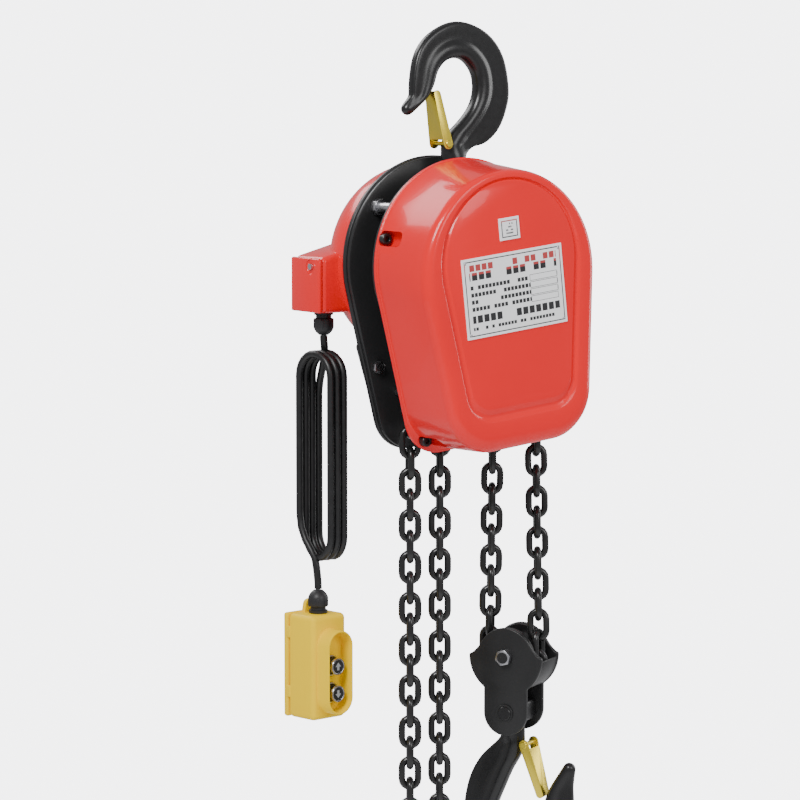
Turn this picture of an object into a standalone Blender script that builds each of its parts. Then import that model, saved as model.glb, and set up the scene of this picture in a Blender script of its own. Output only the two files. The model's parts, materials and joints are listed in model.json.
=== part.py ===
"""Electric chain hoist with a two-fall hook block and a push-button pendant.

The frame is in metres, +Z up. The origin is the inside top of the top hook's bowl, where the
hoist hangs, and the front cover faces -Y. Lengths below are given in millimetres times MM.
"""

import math

import bmesh
import bpy
from mathutils import Matrix, Vector

MM = 0.001
GAP = 0.3 * MM

# The hoist body hangs a little tilted under its hook. Its own frame has its origin at the centre
# of the housing's top arc, in the plane of the front cover's flange.
BODY_ORIGIN = Vector((-5.5, -25.0, -233.0)) * MM
BODY_TILT = math.radians(6.4)
CHAIN_Y = 25 * MM

# Housing outline: a top arc, two tapering sides and rounded lower corners
HOUSING_R = 121 * MM
HOUSING_TAPER = math.radians(7.9)
HOUSING_BOTTOM = 209 * MM
HOUSING_CORNER = 44 * MM

PLATE_T = 6 * MM
FRONT_PLATE_Y = 0.4 * MM
REAR_PLATE_Y = 50 * MM
FLANGE_Y = REAR_PLATE_Y + PLATE_T + GAP
FLANGE_T = 6.7 * MM
MOTOR_Y = FLANGE_Y + FLANGE_T + GAP
COVER_DEPTH = 98 * MM
COVER_WALL = 3 * MM
COVER_ROUNDER = 16 * MM
JUNCTION_SLOPE = 0.26
COVER_SCREWS = [(x * MM, z * MM) for x, z in ((-105.5, 44), (-76.8, -192), (105.5, 44), (76.8, -192))]

# Top hook, crosshead and its pivot, in the row frame
SWIVEL_R = 12 * MM
PIVOT_Z = -140 * MM
CROSSHEAD = Vector((46, 36, 30)) * MM
TRUNNION_R = 9 * MM

# Round-link chain
WIRE = 7.0 * MM
LINK_WIDTH = 25.4 * MM
PITCH = 24 * MM
CHAIN_EASE = 0.4 * MM
CHAIN_YAW = math.radians(-32)

# Load sheave, a point of the row frame, and its five-pocket pitch radius
SHEAVE_X = 20.5 * MM
SHEAVE_Z = -233 * MM
SHEAVE_R = PITCH / (2 * math.sin(math.pi / 10))
BLOCK_LIFT_LINKS = 19
FALL_DEAD_LINKS = 14
SLACK_DOWN_LINKS = 27
SLACK_UP_LINKS = 21
SLACK_X = -59.9 * MM

# Reduction gears, module 2: two equal stages on one centre distance
MODULE = 2 * MM
PINION_TEETH = 12
GEAR_TEETH = 36
GEAR_CENTRES = MODULE * (PINION_TEETH + GEAR_TEETH) / 2
GEAR_ANGLE = math.radians(155)
STAGE_ONE_Y = (-27 * MM, -18 * MM)
STAGE_TWO_Y = (-13 * MM, -3.5 * MM)

# Hook block
BLOCK_ORIGIN = Vector((82.5, -8.5, -694.4)) * MM
BLOCK_YAW = math.radians(-60)
IDLER_R = PITCH / (2 * math.sin(math.pi / 8))
BLOCK_PLATE_Y = 21 * MM
PIN_DROP = 66.5 * MM
DOME_R = 34 * MM
WING_R = 46 * MM
WAIST = 27 * MM

# Pendant, its gland and the cord
PENDANT_ORIGIN = Vector((-128.1, 95.9, -701.0)) * MM
PENDANT_YAW = math.radians(9)
PENDANT = Vector((52, 44, 122)) * MM
COLLAR = Vector((39, 19, 99)) * MM
COLLAR_Z = -4.5 * MM
BUTTON_R = 9.8 * MM
BUTTON_Z = {"up": 2.3 * MM, "down": -29.7 * MM}
CORD_R = 4.4 * MM
HANK_ORIGIN = Vector((-122.0, 90.0, -456.8)) * MM
HANK = Vector((35.6, 61.0, 245.6)) * MM
UPPER_GLAND = Vector((-118.7, 90.0, -290.3)) * MM
CORD_UPPER = [
    Vector((-118.7, 90.0, -317.7)),
    Vector((-118.7, 90.0, -322.0)),
    Vector((-117.8, 90.0, -327.0)),
    Vector((-117.2, 90.0, -333.6)),
]
CORD_LOWER = [
    Vector((-129.6, 90.0, -580.0)),
    Vector((-129.2, 90.0, -586.0)),
    Vector((-128.5, 90.0, -593.0)),
    Vector((-127.7, 90.0, -600.0)),
    Vector((-127.2, 90.0, -606.0)),
    Vector((-127.1, 90.0, -611.6)),
]

FINISHES = {
    "red_enamel": ((0.72, 0.035, 0.03), 0.3, 0.0),
    "black_steel": ((0.02, 0.02, 0.022), 0.4, 0.6),
    "forged_black": ((0.018, 0.018, 0.02), 0.45, 0.4),
    "chain_black": ((0.012, 0.012, 0.013), 0.3, 0.8),
    "steel": ((0.55, 0.55, 0.56), 0.3, 1.0),
    "machined": ((0.42, 0.42, 0.44), 0.35, 1.0),
    "latch_gold": ((0.75, 0.58, 0.12), 0.3, 0.9),
    "plate_silver": ((0.85, 0.85, 0.86), 0.3, 0.5),
    "copper": ((0.6, 0.25, 0.12), 0.4, 0.9),
    "yellow_plastic": ((0.9, 0.55, 0.02), 0.35, 0.0),
    "black_plastic": ((0.02, 0.02, 0.022), 0.5, 0.0),
    "cord_rubber": ((0.015, 0.015, 0.016), 0.5, 0.0),
}


def clear_scene():
    for old in list(bpy.data.objects):
        bpy.data.objects.remove(old, do_unlink=True)


def collection(name):
    made = bpy.data.collections.new(name)
    bpy.context.scene.collection.children.link(made)
    return made


def finish(name):
    found = bpy.data.materials.get(name)
    if found:
        return found
    colour, rough, metal = FINISHES[name]
    found = bpy.data.materials.new(name)
    found.use_nodes = True
    shader = found.node_tree.nodes["Principled BSDF"]
    shader.inputs["Base Color"].default_value = (*colour, 1)
    shader.inputs["Roughness"].default_value = rough
    shader.inputs["Metallic"].default_value = metal
    return found


def empty(name, location=(0, 0, 0), rotation=(0, 0, 0), parent=None):
    made = bpy.data.objects.new(name, None)
    made.location = location
    made.rotation_euler = rotation
    made.parent = parent
    PARTS.objects.link(made)
    return made


def add(name, mesh, material, parent=None, cutter=False):
    """A mesh as an object: a part, or a hidden helper for a Boolean."""
    made = bpy.data.objects.new(name, mesh)
    made.parent = parent
    if cutter:
        CUTTERS.objects.link(made)
        made.hide_render = True
        made.display_type = "WIRE"
    else:
        PARTS.objects.link(made)
        mesh.materials.append(finish(material))
        mesh.shade_smooth()
        mesh.set_sharp_from_angle(angle=math.radians(35))
    return made


def mesh_of(bm, name):
    bmesh.ops.recalc_face_normals(bm, faces=bm.faces)
    mesh = bpy.data.meshes.new(name)
    bm.to_mesh(mesh)
    bm.free()
    return mesh


def combine(obj, other, operation):
    step = obj.modifiers.new(operation.title(), "BOOLEAN")
    step.operation = operation
    step.object = other
    return obj


def cut(obj, *others):
    for other in others:
        combine(obj, other, "DIFFERENCE")
    return obj


def join(obj, *others):
    for other in others:
        combine(obj, other, "UNION")
    return obj


def prism_mesh(name, loops, low, high):
    """Closed outlines in the XZ plane, holes among them, as a solid from y = low to y = high."""
    curve = bpy.data.curves.new(name, "CURVE")
    curve.dimensions = "2D"
    curve.fill_mode = "BOTH"
    curve.extrude = (high - low) / 2
    for loop in loops:
        spline = curve.splines.new("POLY")
        spline.points.add(len(loop) - 1)
        for point, (x, z) in zip(spline.points, loop):
            point.co = (x, z, 0, 1)
        spline.use_cyclic_u = True
    holder = bpy.data.objects.new(name, curve)
    bpy.context.scene.collection.objects.link(holder)
    evaluated = holder.evaluated_get(bpy.context.evaluated_depsgraph_get())
    filled = bpy.data.meshes.new_from_object(evaluated)
    bpy.data.objects.remove(holder, do_unlink=True)
    bm = bmesh.new()
    bm.from_mesh(filled)
    bmesh.ops.remove_doubles(bm, verts=bm.verts, dist=0.001 * MM)
    upright = Matrix.Rotation(math.pi / 2, 4, "X")
    bm.transform(Matrix.Translation((0, (low + high) / 2, 0)) @ upright)
    return mesh_of(bm, name)


def prism(name, loops, low, high, material, parent=None, cutter=False):
    return add(name, prism_mesh(name, loops, low, high), material, parent, cutter)


def circle(x, z, radius, count=16, start=0.0):
    steps = [start + 2 * math.pi * k / count for k in range(count)]
    return [(x + radius * math.cos(a), z + radius * math.sin(a)) for a in steps]


def arc(x, z, radius, first, last, count):
    steps = [first + (last - first) * k / count for k in range(count + 1)]
    return [(x + radius * math.cos(a), z + radius * math.sin(a)) for a in steps]


AXES = {
    "X": Matrix.Rotation(math.pi / 2, 4, "Y"),
    "Y": Matrix.Rotation(-math.pi / 2, 4, "X"),
    "Z": Matrix.Identity(4),
}


def rod_mesh(bm, centre, axis, radius, low, high, sides=16, turn=0.0):
    """A cylinder or hexagonal bar about an axis through centre, from low to high along it."""
    along = AXES[axis] @ Vector((0, 0, (low + high) / 2))
    place = Matrix.Translation(Vector(centre) + along) @ AXES[axis] @ Matrix.Rotation(turn, 4, "Z")
    bmesh.ops.create_cone(
        bm,
        cap_ends=True,
        segments=sides,
        radius1=radius,
        radius2=radius,
        depth=high - low,
        matrix=place,
    )


def rod(name, centre, axis, radius, low, high, material, parent=None, sides=16, cutter=False, turn=0.0):
    bm = bmesh.new()
    rod_mesh(bm, centre, axis, radius, low, high, sides, turn)
    return add(name, mesh_of(bm, name), material, parent, cutter)


def turned(name, profile, centre, axis, material, parent=None, steps=24, cutter=False, closed=False):
    """A profile of (radius, place along the axis), run down its outer side, turned about an axis."""
    mesh = bpy.data.meshes.new(name)
    points = [(r, 0, along) for r, along in profile]
    edges = [(k, k + 1) for k in range(len(points) - 1)]
    if closed:
        edges.append((len(points) - 1, 0))
    mesh.from_pydata(points, edges, [])
    made = add(name, mesh, material, parent, cutter)
    made.matrix_local = Matrix.Translation(centre) @ AXES[axis]
    screw = made.modifiers.new("Turn", "SCREW")
    screw.steps = steps
    screw.render_steps = steps
    screw.use_merge_vertices = True
    screw.merge_threshold = 0.01 * MM
    screw.use_smooth_shade = True
    return made


def box(name, low, high, material, parent=None, cutter=False, round_off=0.0, segments=2):
    bm = bmesh.new()
    size = [b - a for a, b in zip(low, high)]
    middle = [(a + b) / 2 for a, b in zip(low, high)]
    place = Matrix.Translation(middle) @ Matrix.Diagonal((*size, 1))
    bmesh.ops.create_cube(bm, size=1, matrix=place)
    if round_off:
        bmesh.ops.bevel(
            bm,
            geom=bm.edges[:],
            offset=round_off,
            segments=segments,
            profile=0.5,
            affect="EDGES",
            material=-1,
        )
    return add(name, mesh_of(bm, name), material, parent, cutter)


def loft_mesh(name, rings, caps=True):
    """Rings of points, all of one count, bridged in order."""
    bm = bmesh.new()
    rows = [[bm.verts.new(point) for point in ring] for ring in rings]
    count = len(rings[0])
    for near, far in zip(rows, rows[1:]):
        for k in range(count):
            bm.faces.new((near[k], near[(k + 1) % count], far[(k + 1) % count], far[k]))
    if caps:
        bm.faces.new(rows[0])
        bm.faces.new(rows[-1])
    return mesh_of(bm, name)


def tube(name, points, radius, material, parent=None, resolution=2):
    """A round tube along points, in metres, with filled ends."""
    curve = bpy.data.curves.new(name, "CURVE")
    curve.dimensions = "3D"
    curve.bevel_depth = radius
    curve.bevel_resolution = resolution
    curve.use_fill_caps = True
    spline = curve.splines.new("POLY")
    spline.points.add(len(points) - 1)
    for point, place in zip(spline.points, points):
        point.co = (*place, 1)
    made = bpy.data.objects.new(name, curve)
    curve.materials.append(finish(material))
    made.parent = parent
    PARTS.objects.link(made)
    return made


def housing_outline(inset=0.0, arc_steps=14, corner_steps=4, drop=0.0, rounder=0.0, rise=0.0):
    """The housing's outline, anticlockwise from its right side, moved in by inset."""
    radius = HOUSING_R - inset
    corner = HOUSING_CORNER + rounder - inset
    low = -HOUSING_BOTTOM + inset + rise
    tangent = Vector((radius * math.cos(HOUSING_TAPER), -radius * math.sin(HOUSING_TAPER)))
    down = Vector((-math.sin(HOUSING_TAPER), -math.cos(HOUSING_TAPER)))
    out = Vector((math.cos(HOUSING_TAPER), -math.sin(HOUSING_TAPER)))
    run = (tangent.y - corner * out.y - (low + corner)) / -down.y
    centre = tangent + run * down - corner * out
    right = arc(centre.x, centre.y, corner, -math.pi / 2, -HOUSING_TAPER, corner_steps)
    top = arc(0, 0, radius, -HOUSING_TAPER, math.pi + HOUSING_TAPER, arc_steps)
    left = [(-x, z) for x, z in reversed(right)]
    return [(x, z - drop) for x, z in right + top + left]


def body_point(x, y, z):
    """A point of the row frame, in the hoist body's frame."""
    d = Vector((x, y, z)) - BODY_ORIGIN
    cos, sin = math.cos(BODY_TILT), math.sin(BODY_TILT)
    return Vector((d.x * cos + d.z * sin, d.y, -d.x * sin + d.z * cos))


def hook_section(inner, outer, bead, web, lift=0.0):
    """A hook's T-shaped section: a round bead on the inside and a thinner web outside it."""
    inner, outer = Vector(inner), Vector(outer)
    across = outer - inner
    width = across.length
    across.normalize()
    depth = min(2 * bead, width * 0.55)
    rows = [
        (0.0, 0.45 * bead),
        (depth * 0.3, 0.95 * bead),
        (depth * 0.75, 0.9 * bead),
        (depth * 1.05, web),
        (width - 2 * MM, web),
        (width, web * 0.6),
    ]
    near = [(inner + across * s, -h) for s, h in rows]
    far = [(inner + across * s, h) for s, h in reversed(rows)]
    return [(p.x, h + lift, p.y) for p, h in near + far]


def round_section(x, z, radius, half_turn, count=12):
    """A round section across a shank, its points in the order of hook_section's."""
    steps = [math.pi * (1 + 1 / count) + 2 * math.pi * k / count for k in range(count)]
    return [(x + half_turn * radius * math.cos(a), radius * math.sin(a), z) for a in steps]


def hook_mesh(name, stations, tip, shank, sign):
    """A forged hook from its shank to its tip. sign is 1 for a hook that opens to -X."""
    rings = [round_section(0, z * MM, r * MM, sign) for r, z in shank]
    for inner, outer, bead, web in stations:
        low = Vector(inner) * MM
        high = Vector(outer) * MM
        rings.append(hook_section(low, high, bead * MM, web * MM))
    centre, radius, heading = Vector(tip[0]) * MM, tip[1] * MM, math.radians(tip[2])
    along = Vector((math.cos(heading), math.sin(heading)))
    side = Vector((-along.y, along.x))
    for forward, share in ((0.0, 1.0), (0.55, 0.84), (0.9, 0.42)):
        middle = centre + along * radius * forward
        ring = []
        for k in range(12):
            a = math.pi * (1 + 1 / 12) + 2 * math.pi * k / 12
            place = middle - side * radius * share * math.cos(a)
            ring.append((place.x, radius * share * math.sin(a), place.y))
        rings.append(ring)
    return loft_mesh(name, rings)


# Stations of each hook, in mm: inner edge, outer edge, bead half-thickness, web half-thickness
TOP_HOOK = [
    ((-14.5, -96), (24, -101), 12.5, 10.5),
    ((-6, -84), (43, -97), 11.5, 8.5),
    ((9, -71), (62, -81), 11, 8),
    ((22, -56), (73, -57), 11, 8),
    ((28.5, -38), (76, -34), 11, 8),
    ((26, -18), (67, 4), 11, 8),
    ((14, -4), (42, 31), 11, 8),
    ((0, 0), (3, 42.5), 11, 8),
    ((-14, -4), (-33, 29), 10.5, 8),
    ((-24, -15), (-53, 6), 10, 8),
    ((-29, -30), (-59.5, -24), 9.5, 8),
    ((-38, -45), (-60, -43), 9, 7.5),
]
TOP_TIP = ((-63.5, -56.5), 7.8, 222)
BOTTOM_HOOK = [
    ((13, -103), (-24, -108), 12, 10),
    ((9, -120), (-40, -123), 11.5, 8.5),
    ((-1, -137), (-52, -142), 11, 8),
    ((-10, -157), (-59, -162), 11, 8),
    ((-19, -178), (-63, -186), 11, 8),
    ((-27, -202), (-65, -212), 11, 8),
    ((-23, -223), (-52, -248), 11, 8),
    ((-12, -233.5), (-27, -270), 11, 8),
    ((2, -236), (4, -278), 11, 8),
    ((16, -232), (36, -264), 10.5, 8),
    ((26, -220), (60, -236), 10.5, 8),
    ((32, -202), (72, -205), 10, 8),
    ((38, -178), (76, -178), 9.5, 8),
    ((47, -154), (75, -152), 9, 7.5),
]
BOTTOM_TIP = ((70.5, -131.5), 8, 72)


def latch_loops(pivot, end, width_pivot, width_end):
    """A latch's side outline from its pivot eye to its rounded end."""
    pivot, end = Vector(pivot) * MM, Vector(end) * MM
    heading = math.atan2(end.y - pivot.y, end.x - pivot.x)
    eye = arc(
        pivot.x, pivot.y, width_pivot * MM / 2, heading + math.pi / 2, heading + 1.5 * math.pi, 4
    )
    nose = arc(end.x, end.y, width_end * MM / 2, heading - math.pi / 2, heading + math.pi / 2, 4)
    return eye + nose


def latch(name, pivot, end, parent):
    """A pressed latch: two cheeks either side of the hook's neck and a bridge between them."""
    loops = latch_loops(pivot, end, 12, 9)
    local = [(x - pivot[0] * MM, z - pivot[1] * MM) for x, z in loops]
    made = prism(name, [local], -15 * MM, 15 * MM, "latch_gold", parent)
    heading = math.atan2(end[1] - pivot[1], end[0] - pivot[0])
    length = math.hypot(end[0] - pivot[0], end[1] - pivot[1]) * MM
    slot = box(
        name + "_slot",
        (-12 * MM, -12.9 * MM, -20 * MM),
        (length * 0.62, 12.9 * MM, 20 * MM),
        None,
        parent,
        cutter=True,
    )
    slot.rotation_euler = (0, -heading, 0)
    channel = box(
        name + "_channel",
        (length * 0.55, -12 * MM, -20 * MM),
        (length * 1.2, 12 * MM, 0),
        None,
        parent,
        cutter=True,
    )
    channel.rotation_euler = (0, -heading, 0)
    return cut(made, slot, channel)


def build_top_hook():
    hook = empty("top_hook_frame")
    shank = [(SWIVEL_R / MM, -174), (SWIVEL_R / MM, -122), (14.7, -119), (14.7, -108)]
    add("top_hook", hook_mesh("top_hook", TOP_HOOK, TOP_TIP, shank, 1), "forged_black", hook)
    nut = rod("top_hook_nut", (0, 0, 0), "Z", 17.5 * MM, -171.5 * MM, PIVOT_Z - 15.3 * MM, "steel", hook, 6)
    bore = rod("top_nut_bore", (0, 0, 0), "Z", 12.3 * MM, -180 * MM, -150 * MM, None, hook, 24, True)
    cut(nut, bore)
    pivot = empty("top_latch_frame", Vector((TOP_LATCH[0][0], 0, TOP_LATCH[0][1])) * MM, parent=hook)
    latch("top_latch", *TOP_LATCH, pivot)


TOP_LATCH = ((-17, -97), (-28.5, -40.5))
BOTTOM_LATCH = ((19, -105), (37, -163))


def build_crosshead():
    """The bar that the top hook turns in, carried by two trunnions in the side plates."""
    frame = empty("crosshead_frame", (0, 0, PIVOT_Z))
    half = CROSSHEAD / 2
    bar = box("top_crosshead", -half, half, "black_steel", frame, round_off=4 * MM, segments=1)
    reach = REAR_PLATE_Y + PLATE_T - CHAIN_Y
    pin = rod("crosshead_pins", (0, 0, 0), "Y", TRUNNION_R, -reach, reach, None, frame, 20, True)
    bore = rod("crosshead_bore", (0, 0, 0), "Z", SWIVEL_R + GAP, -0.03, 0.03, None, frame, 24, True)
    cut(join(bar, pin), bore)


def plate_with_ear(inset, ear):
    """The housing's outline with a rounded ear that carries the end of the load chain."""
    outline = housing_outline(inset)
    lobe = arc(ear.x, ear.z, 13 * MM, math.radians(-75), math.radians(62), 6)
    kept = []
    placed = False
    for x, z in outline:
        near = x > 0 and abs(z - ear.z) < 26 * MM
        if not near:
            kept.append((x, z))
        elif not placed:
            kept.extend(lobe)
            placed = True
    if not placed:
        side = [k for k, (x, z) in enumerate(kept) if x > 0 and z > ear.z][0]
        kept[side:side] = lobe
    return kept


def build_frame(hoist, sheave, pivot, dead, slack, second):
    pins = circle(pivot.x, pivot.z, TRUNNION_R + GAP, 20)
    bearing = circle(sheave.x, sheave.z, 22 * MM, 24)
    gear_seat = circle(second.x, second.z, 6.4 * MM, 12)
    trimmed = [(x * 0.88, z * 0.95) if z < -110 * MM else (x, z) for x, z in plate_with_ear(2 * MM, dead)]
    front = [trimmed, pins, bearing, gear_seat]
    prism("front_side_plate", front, FRONT_PLATE_Y, FRONT_PLATE_Y + PLATE_T, "black_steel", hoist)
    rear = [plate_with_ear(0.5 * MM, dead), pins, bearing]
    prism("rear_side_plate", rear, REAR_PLATE_Y, REAR_PLATE_Y + PLATE_T, "black_steel", hoist)
    inner = FRONT_PLATE_Y + PLATE_T + GAP
    outer = REAR_PLATE_Y - GAP
    for name, x, z in (
        ("stay_bolt_left", -76 * MM, 74 * MM),
        ("stay_bolt_right", 80 * MM, 66 * MM),
        ("stay_bolt_bottom", 4 * MM, -178 * MM),
    ):
        stay = rod(name, (x, 0, z), "Y", 6 * MM, inner, outer, "steel", hoist, 12)
        nut = rod(name + "_hex", (x, 0, z), "Y", 10 * MM, outer - 11 * MM, outer, None, hoist, 6, True)
        join(stay, nut)
    rod("fall_anchor_pin", (dead.x, 0, dead.z), "Y", 4 * MM, inner, outer, "steel", hoist, 12)
    rod("slack_anchor_pin", (slack.x, 0, slack.z), "Y", 4 * MM, inner, outer, "steel", hoist, 12)
    for name, low, high in (
        ("front_bearing", FRONT_PLATE_Y, FRONT_PLATE_Y + 8 * MM),
        ("rear_bearing", REAR_PLATE_Y - 2 * MM, REAR_PLATE_Y + PLATE_T),
    ):
        ring = [circle(sheave.x, sheave.z, 21.7 * MM, 24), circle(sheave.x, sheave.z, 14.4 * MM, 24)]
        prism(name, ring, low, high, "machined", hoist)
    tongue = [(-18, -52), (-7, -47), (7, -47), (18, -52), (14, -92), (-14, -92)]
    wedge = [(sheave.x + x * MM, sheave.z + z * MM) for x, z in tongue]
    prism("chain_stripper", [wedge], inner, outer, "black_steel", hoist)


def cover_block(name, rows, grow, pocket, reach, hoist, cutter):
    """The cover's form as a solid, moved in by grow, with a column left out round each screw."""
    rings = []
    for y, inset, drop in rows:
        rounder = COVER_ROUNDER if grow else COVER_ROUNDER * min(max(-y / MM - 3, 0.0), 1.0)
        loop = housing_outline(inset + grow, 12, 4, drop - (inset + grow) * 0.6, rounder, drop * 1.15)
        rings.append([(x, y, z) for x, z in loop])
    block = add(name, loft_mesh(name, rings), "red_enamel", hoist, cutter)
    for k, (x, z) in enumerate(COVER_SCREWS):
        low = -32.5 * MM - pocket
        column = rod(f"{name}_column_{k}", (x, 0, z), "Y", pocket, low, reach, None, hoist, 12, True)
        cut(block, column)
    return block


def build_cover(hoist):
    """The pressed front cover: a flange, a drafted wall and a rounded front face."""
    outer = [
        (0.0, 0.0, 0.0),
        (-3 * MM, 0.0, 0.0),
        (-4 * MM, 2.5 * MM, 1 * MM),
        (-80 * MM, 3 * MM, 8 * MM),
        (-92 * MM, 6 * MM, 9 * MM),
        (-98 * MM, 14 * MM, 9 * MM),
    ]
    inner = [
        (1 * MM, 2.5 * MM, 0.5 * MM),
        (-77 * MM, 3 * MM, 7.5 * MM),
        (-90 * MM, 6 * MM, 9 * MM),
        (-95 * MM, 13 * MM, 9 * MM),
    ]
    cover = cover_block("front_cover", outer, 0.0, 9.5 * MM, -3.2 * MM, hoist, False)
    cut(cover, cover_block("cover_room", inner, COVER_WALL, 12.5 * MM, 5 * MM, hoist, True))
    front = -COVER_DEPTH
    plate_low, plate_high = (-69.5 * MM, -71 * MM), (69.5 * MM, 19 * MM)
    box(
        "rating_plate",
        (plate_low[0], front - 1.2 * MM, plate_low[1]),
        (plate_high[0], front - GAP, plate_high[1]),
        "plate_silver",
        hoist,
    )
    for k, (x, z) in enumerate(COVER_SCREWS):
        name = f"cover_screw_{k + 1}"
        rod(name, (x, 0, z), "Y", 6.5 * MM, -10.9 * MM, -3.5 * MM, "black_steel", hoist, 12)


def gear_loop(x, z, teeth, phase):
    """A spur gear's outline: trapezoid teeth with running backlash. phase is the angle of a tooth."""
    pitch_r = MODULE * teeth / 2
    tip, root = pitch_r + 0.8 * MODULE, pitch_r - 1.15 * MODULE
    step = 2 * math.pi / teeth
    loop = []
    for k in range(teeth):
        middle = phase + k * step
        for radius, offset in ((root, -0.30), (tip, -0.13), (tip, 0.13), (root, 0.30)):
            a = middle + offset * step
            loop.append((x + radius * math.cos(a), z + radius * math.sin(a)))
    return loop


def build_gears(hoist, sheave, second):
    """The two reduction stages in front of the front plate, and the case around them."""
    half = math.pi / PINION_TEETH
    sheave_frame = empty("load_sheave_frame", (sheave.x, 0, sheave.z), parent=hoist)
    hub = [
        (10, -14),
        (10, -0.2),
        (14, -0.2),
        (14, 10.5),
        (44, 10.5),
        (44, 12),
        (32.4, 12),
        (32.4, 20),
        (23.8, 20.6),
        (23.8, 29.4),
        (32.4, 30),
        (32.4, 38),
        (44, 38),
        (44, 39.5),
        (14, 39.5),
        (14, 56),
        (7.2, 56),
        (7.2, -14),
    ]
    profile = [(r * MM, y * MM) for r, y in reversed(hub)]
    turned("load_sheave", profile, (0, 0, 0), "Y", "machined", sheave_frame, 24, closed=True)
    bore = circle(0, 0, 10 * MM + GAP, 16)
    teeth = gear_loop(0, 0, GEAR_TEETH, GEAR_ANGLE)
    prism("output_gear", [teeth, bore], *STAGE_TWO_Y, "machined", sheave_frame)

    middle = empty("intermediate_frame", (second.x, 0, second.z), parent=hoist)
    back = GEAR_ANGLE + math.pi
    big = [gear_loop(0, 0, GEAR_TEETH, back)]
    cluster = prism("intermediate_gear", big, *STAGE_ONE_Y, "machined", middle)
    small = [gear_loop(0, 0, PINION_TEETH, back + half)]
    low = (STAGE_ONE_Y[1] - 1 * MM, STAGE_TWO_Y[1])
    pinion = prism("intermediate_pinion", small, *low, None, middle, True)
    shaft = rod("intermediate_shaft", (0, 0, 0), "Y", 6 * MM, -33 * MM, 6 * MM, None, middle, 12, True)
    join(cluster, pinion, shaft)

    rotor = empty("rotor_frame", (sheave.x, 0, sheave.z), parent=hoist)
    drive = rod("motor_shaft", (0, 0, 0), "Y", 6 * MM, -33 * MM, 127 * MM, "machined", rotor, 12)
    first = [gear_loop(0, 0, PINION_TEETH, GEAR_ANGLE + half)]
    join(drive, prism("motor_pinion", first, *STAGE_ONE_Y, None, rotor, True))
    core = [circle(0, 0, 33 * MM, 24), circle(0, 0, 6 * MM + GAP, 12)]
    prism("motor_rotor", core, 74 * MM, 112 * MM, "machined", rotor)
    disc = [circle(0, 0, 42 * MM, 20), circle(0, 0, 6 * MM + GAP, 12)]
    prism("brake_disc", disc, 119 * MM, 123 * MM, "steel", rotor)

    case_outline = capsule(sheave, second, 45 * MM)
    rings = [
        [(x, y * MM, z) for x, z in capsule(sheave, second, (45 - inset) * MM)]
        for y, inset in ((0.0, 0.0), (-33.0, 0.0), (-37.0, 4.0))
    ]
    mesh = loft_mesh("gear_case", rings)
    bm = bmesh.new()
    bm.from_mesh(mesh)
    mouth = [f for f in bm.faces if len(f.verts) == len(case_outline) and abs(f.calc_center_median().y) < MM]
    bmesh.ops.delete(bm, geom=mouth, context="FACES_ONLY")
    bm.to_mesh(mesh)
    bm.free()
    case = add("gear_case", mesh, "machined", hoist)
    wall = case.modifiers.new("Wall", "SOLIDIFY")
    wall.thickness = 3 * MM
    wall.offset = -1


def capsule(a, b, radius, count=8):
    """Two equal circles about a and b, joined by straight sides."""
    heading = math.atan2(b.z - a.z, b.x - a.x)
    near = arc(a.x, a.z, radius, heading - 1.5 * math.pi, heading - math.pi / 2, count)
    far = arc(b.x, b.z, radius, heading - math.pi / 2, heading + math.pi / 2, count)
    return near + far


def motor_profile(offset=0.0):
    rows = [(113, 63.3), (113, 88), (106, 107), (95.5, 122), (80, 139), (52, 157.5), (20, 165)]
    return [((r + offset) * MM, (y + offset * (y - 63.3) / 100) * MM) for r, y in rows]


def build_motor(hoist, sheave):
    outer = housing_outline(-1 * MM)
    hole = circle(sheave.x, sheave.z, 22 * MM, 16)
    prism("motor_flange", [outer, hole], FLANGE_Y, FLANGE_Y + FLANGE_T, "black_steel", hoist)
    skin = motor_profile() + [(0, 166 * MM)]
    inside = [(0, 162.5 * MM)] + [(r - 3.5 * MM, y) for r, y in reversed(motor_profile())]
    profile = list(reversed(skin + inside))
    turned("motor_housing", profile, (0, 0, 0), "Y", "red_enamel", hoist, 28, closed=True)
    ring = [circle(sheave.x, sheave.z, 60 * MM, 24), circle(sheave.x, sheave.z, 34 * MM, 24)]
    prism("stator", ring, 70 * MM, 116 * MM, "copper", hoist)
    left = [(-72, -184), (-84, -164), (-99, -86), (-93, -78)]
    top = arc(0, 0, 116 * MM, math.radians(222), math.radians(318), 8)
    right = [(93, -78), (99, -86), (84, -164), (72, -184)]
    outline = [(x * MM, z * MM) for x, z in left] + top + [(x * MM, z * MM) for x, z in right]
    prism("control_box", [outline], MOTOR_Y, 88 * MM, "black_steel", hoist)


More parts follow.
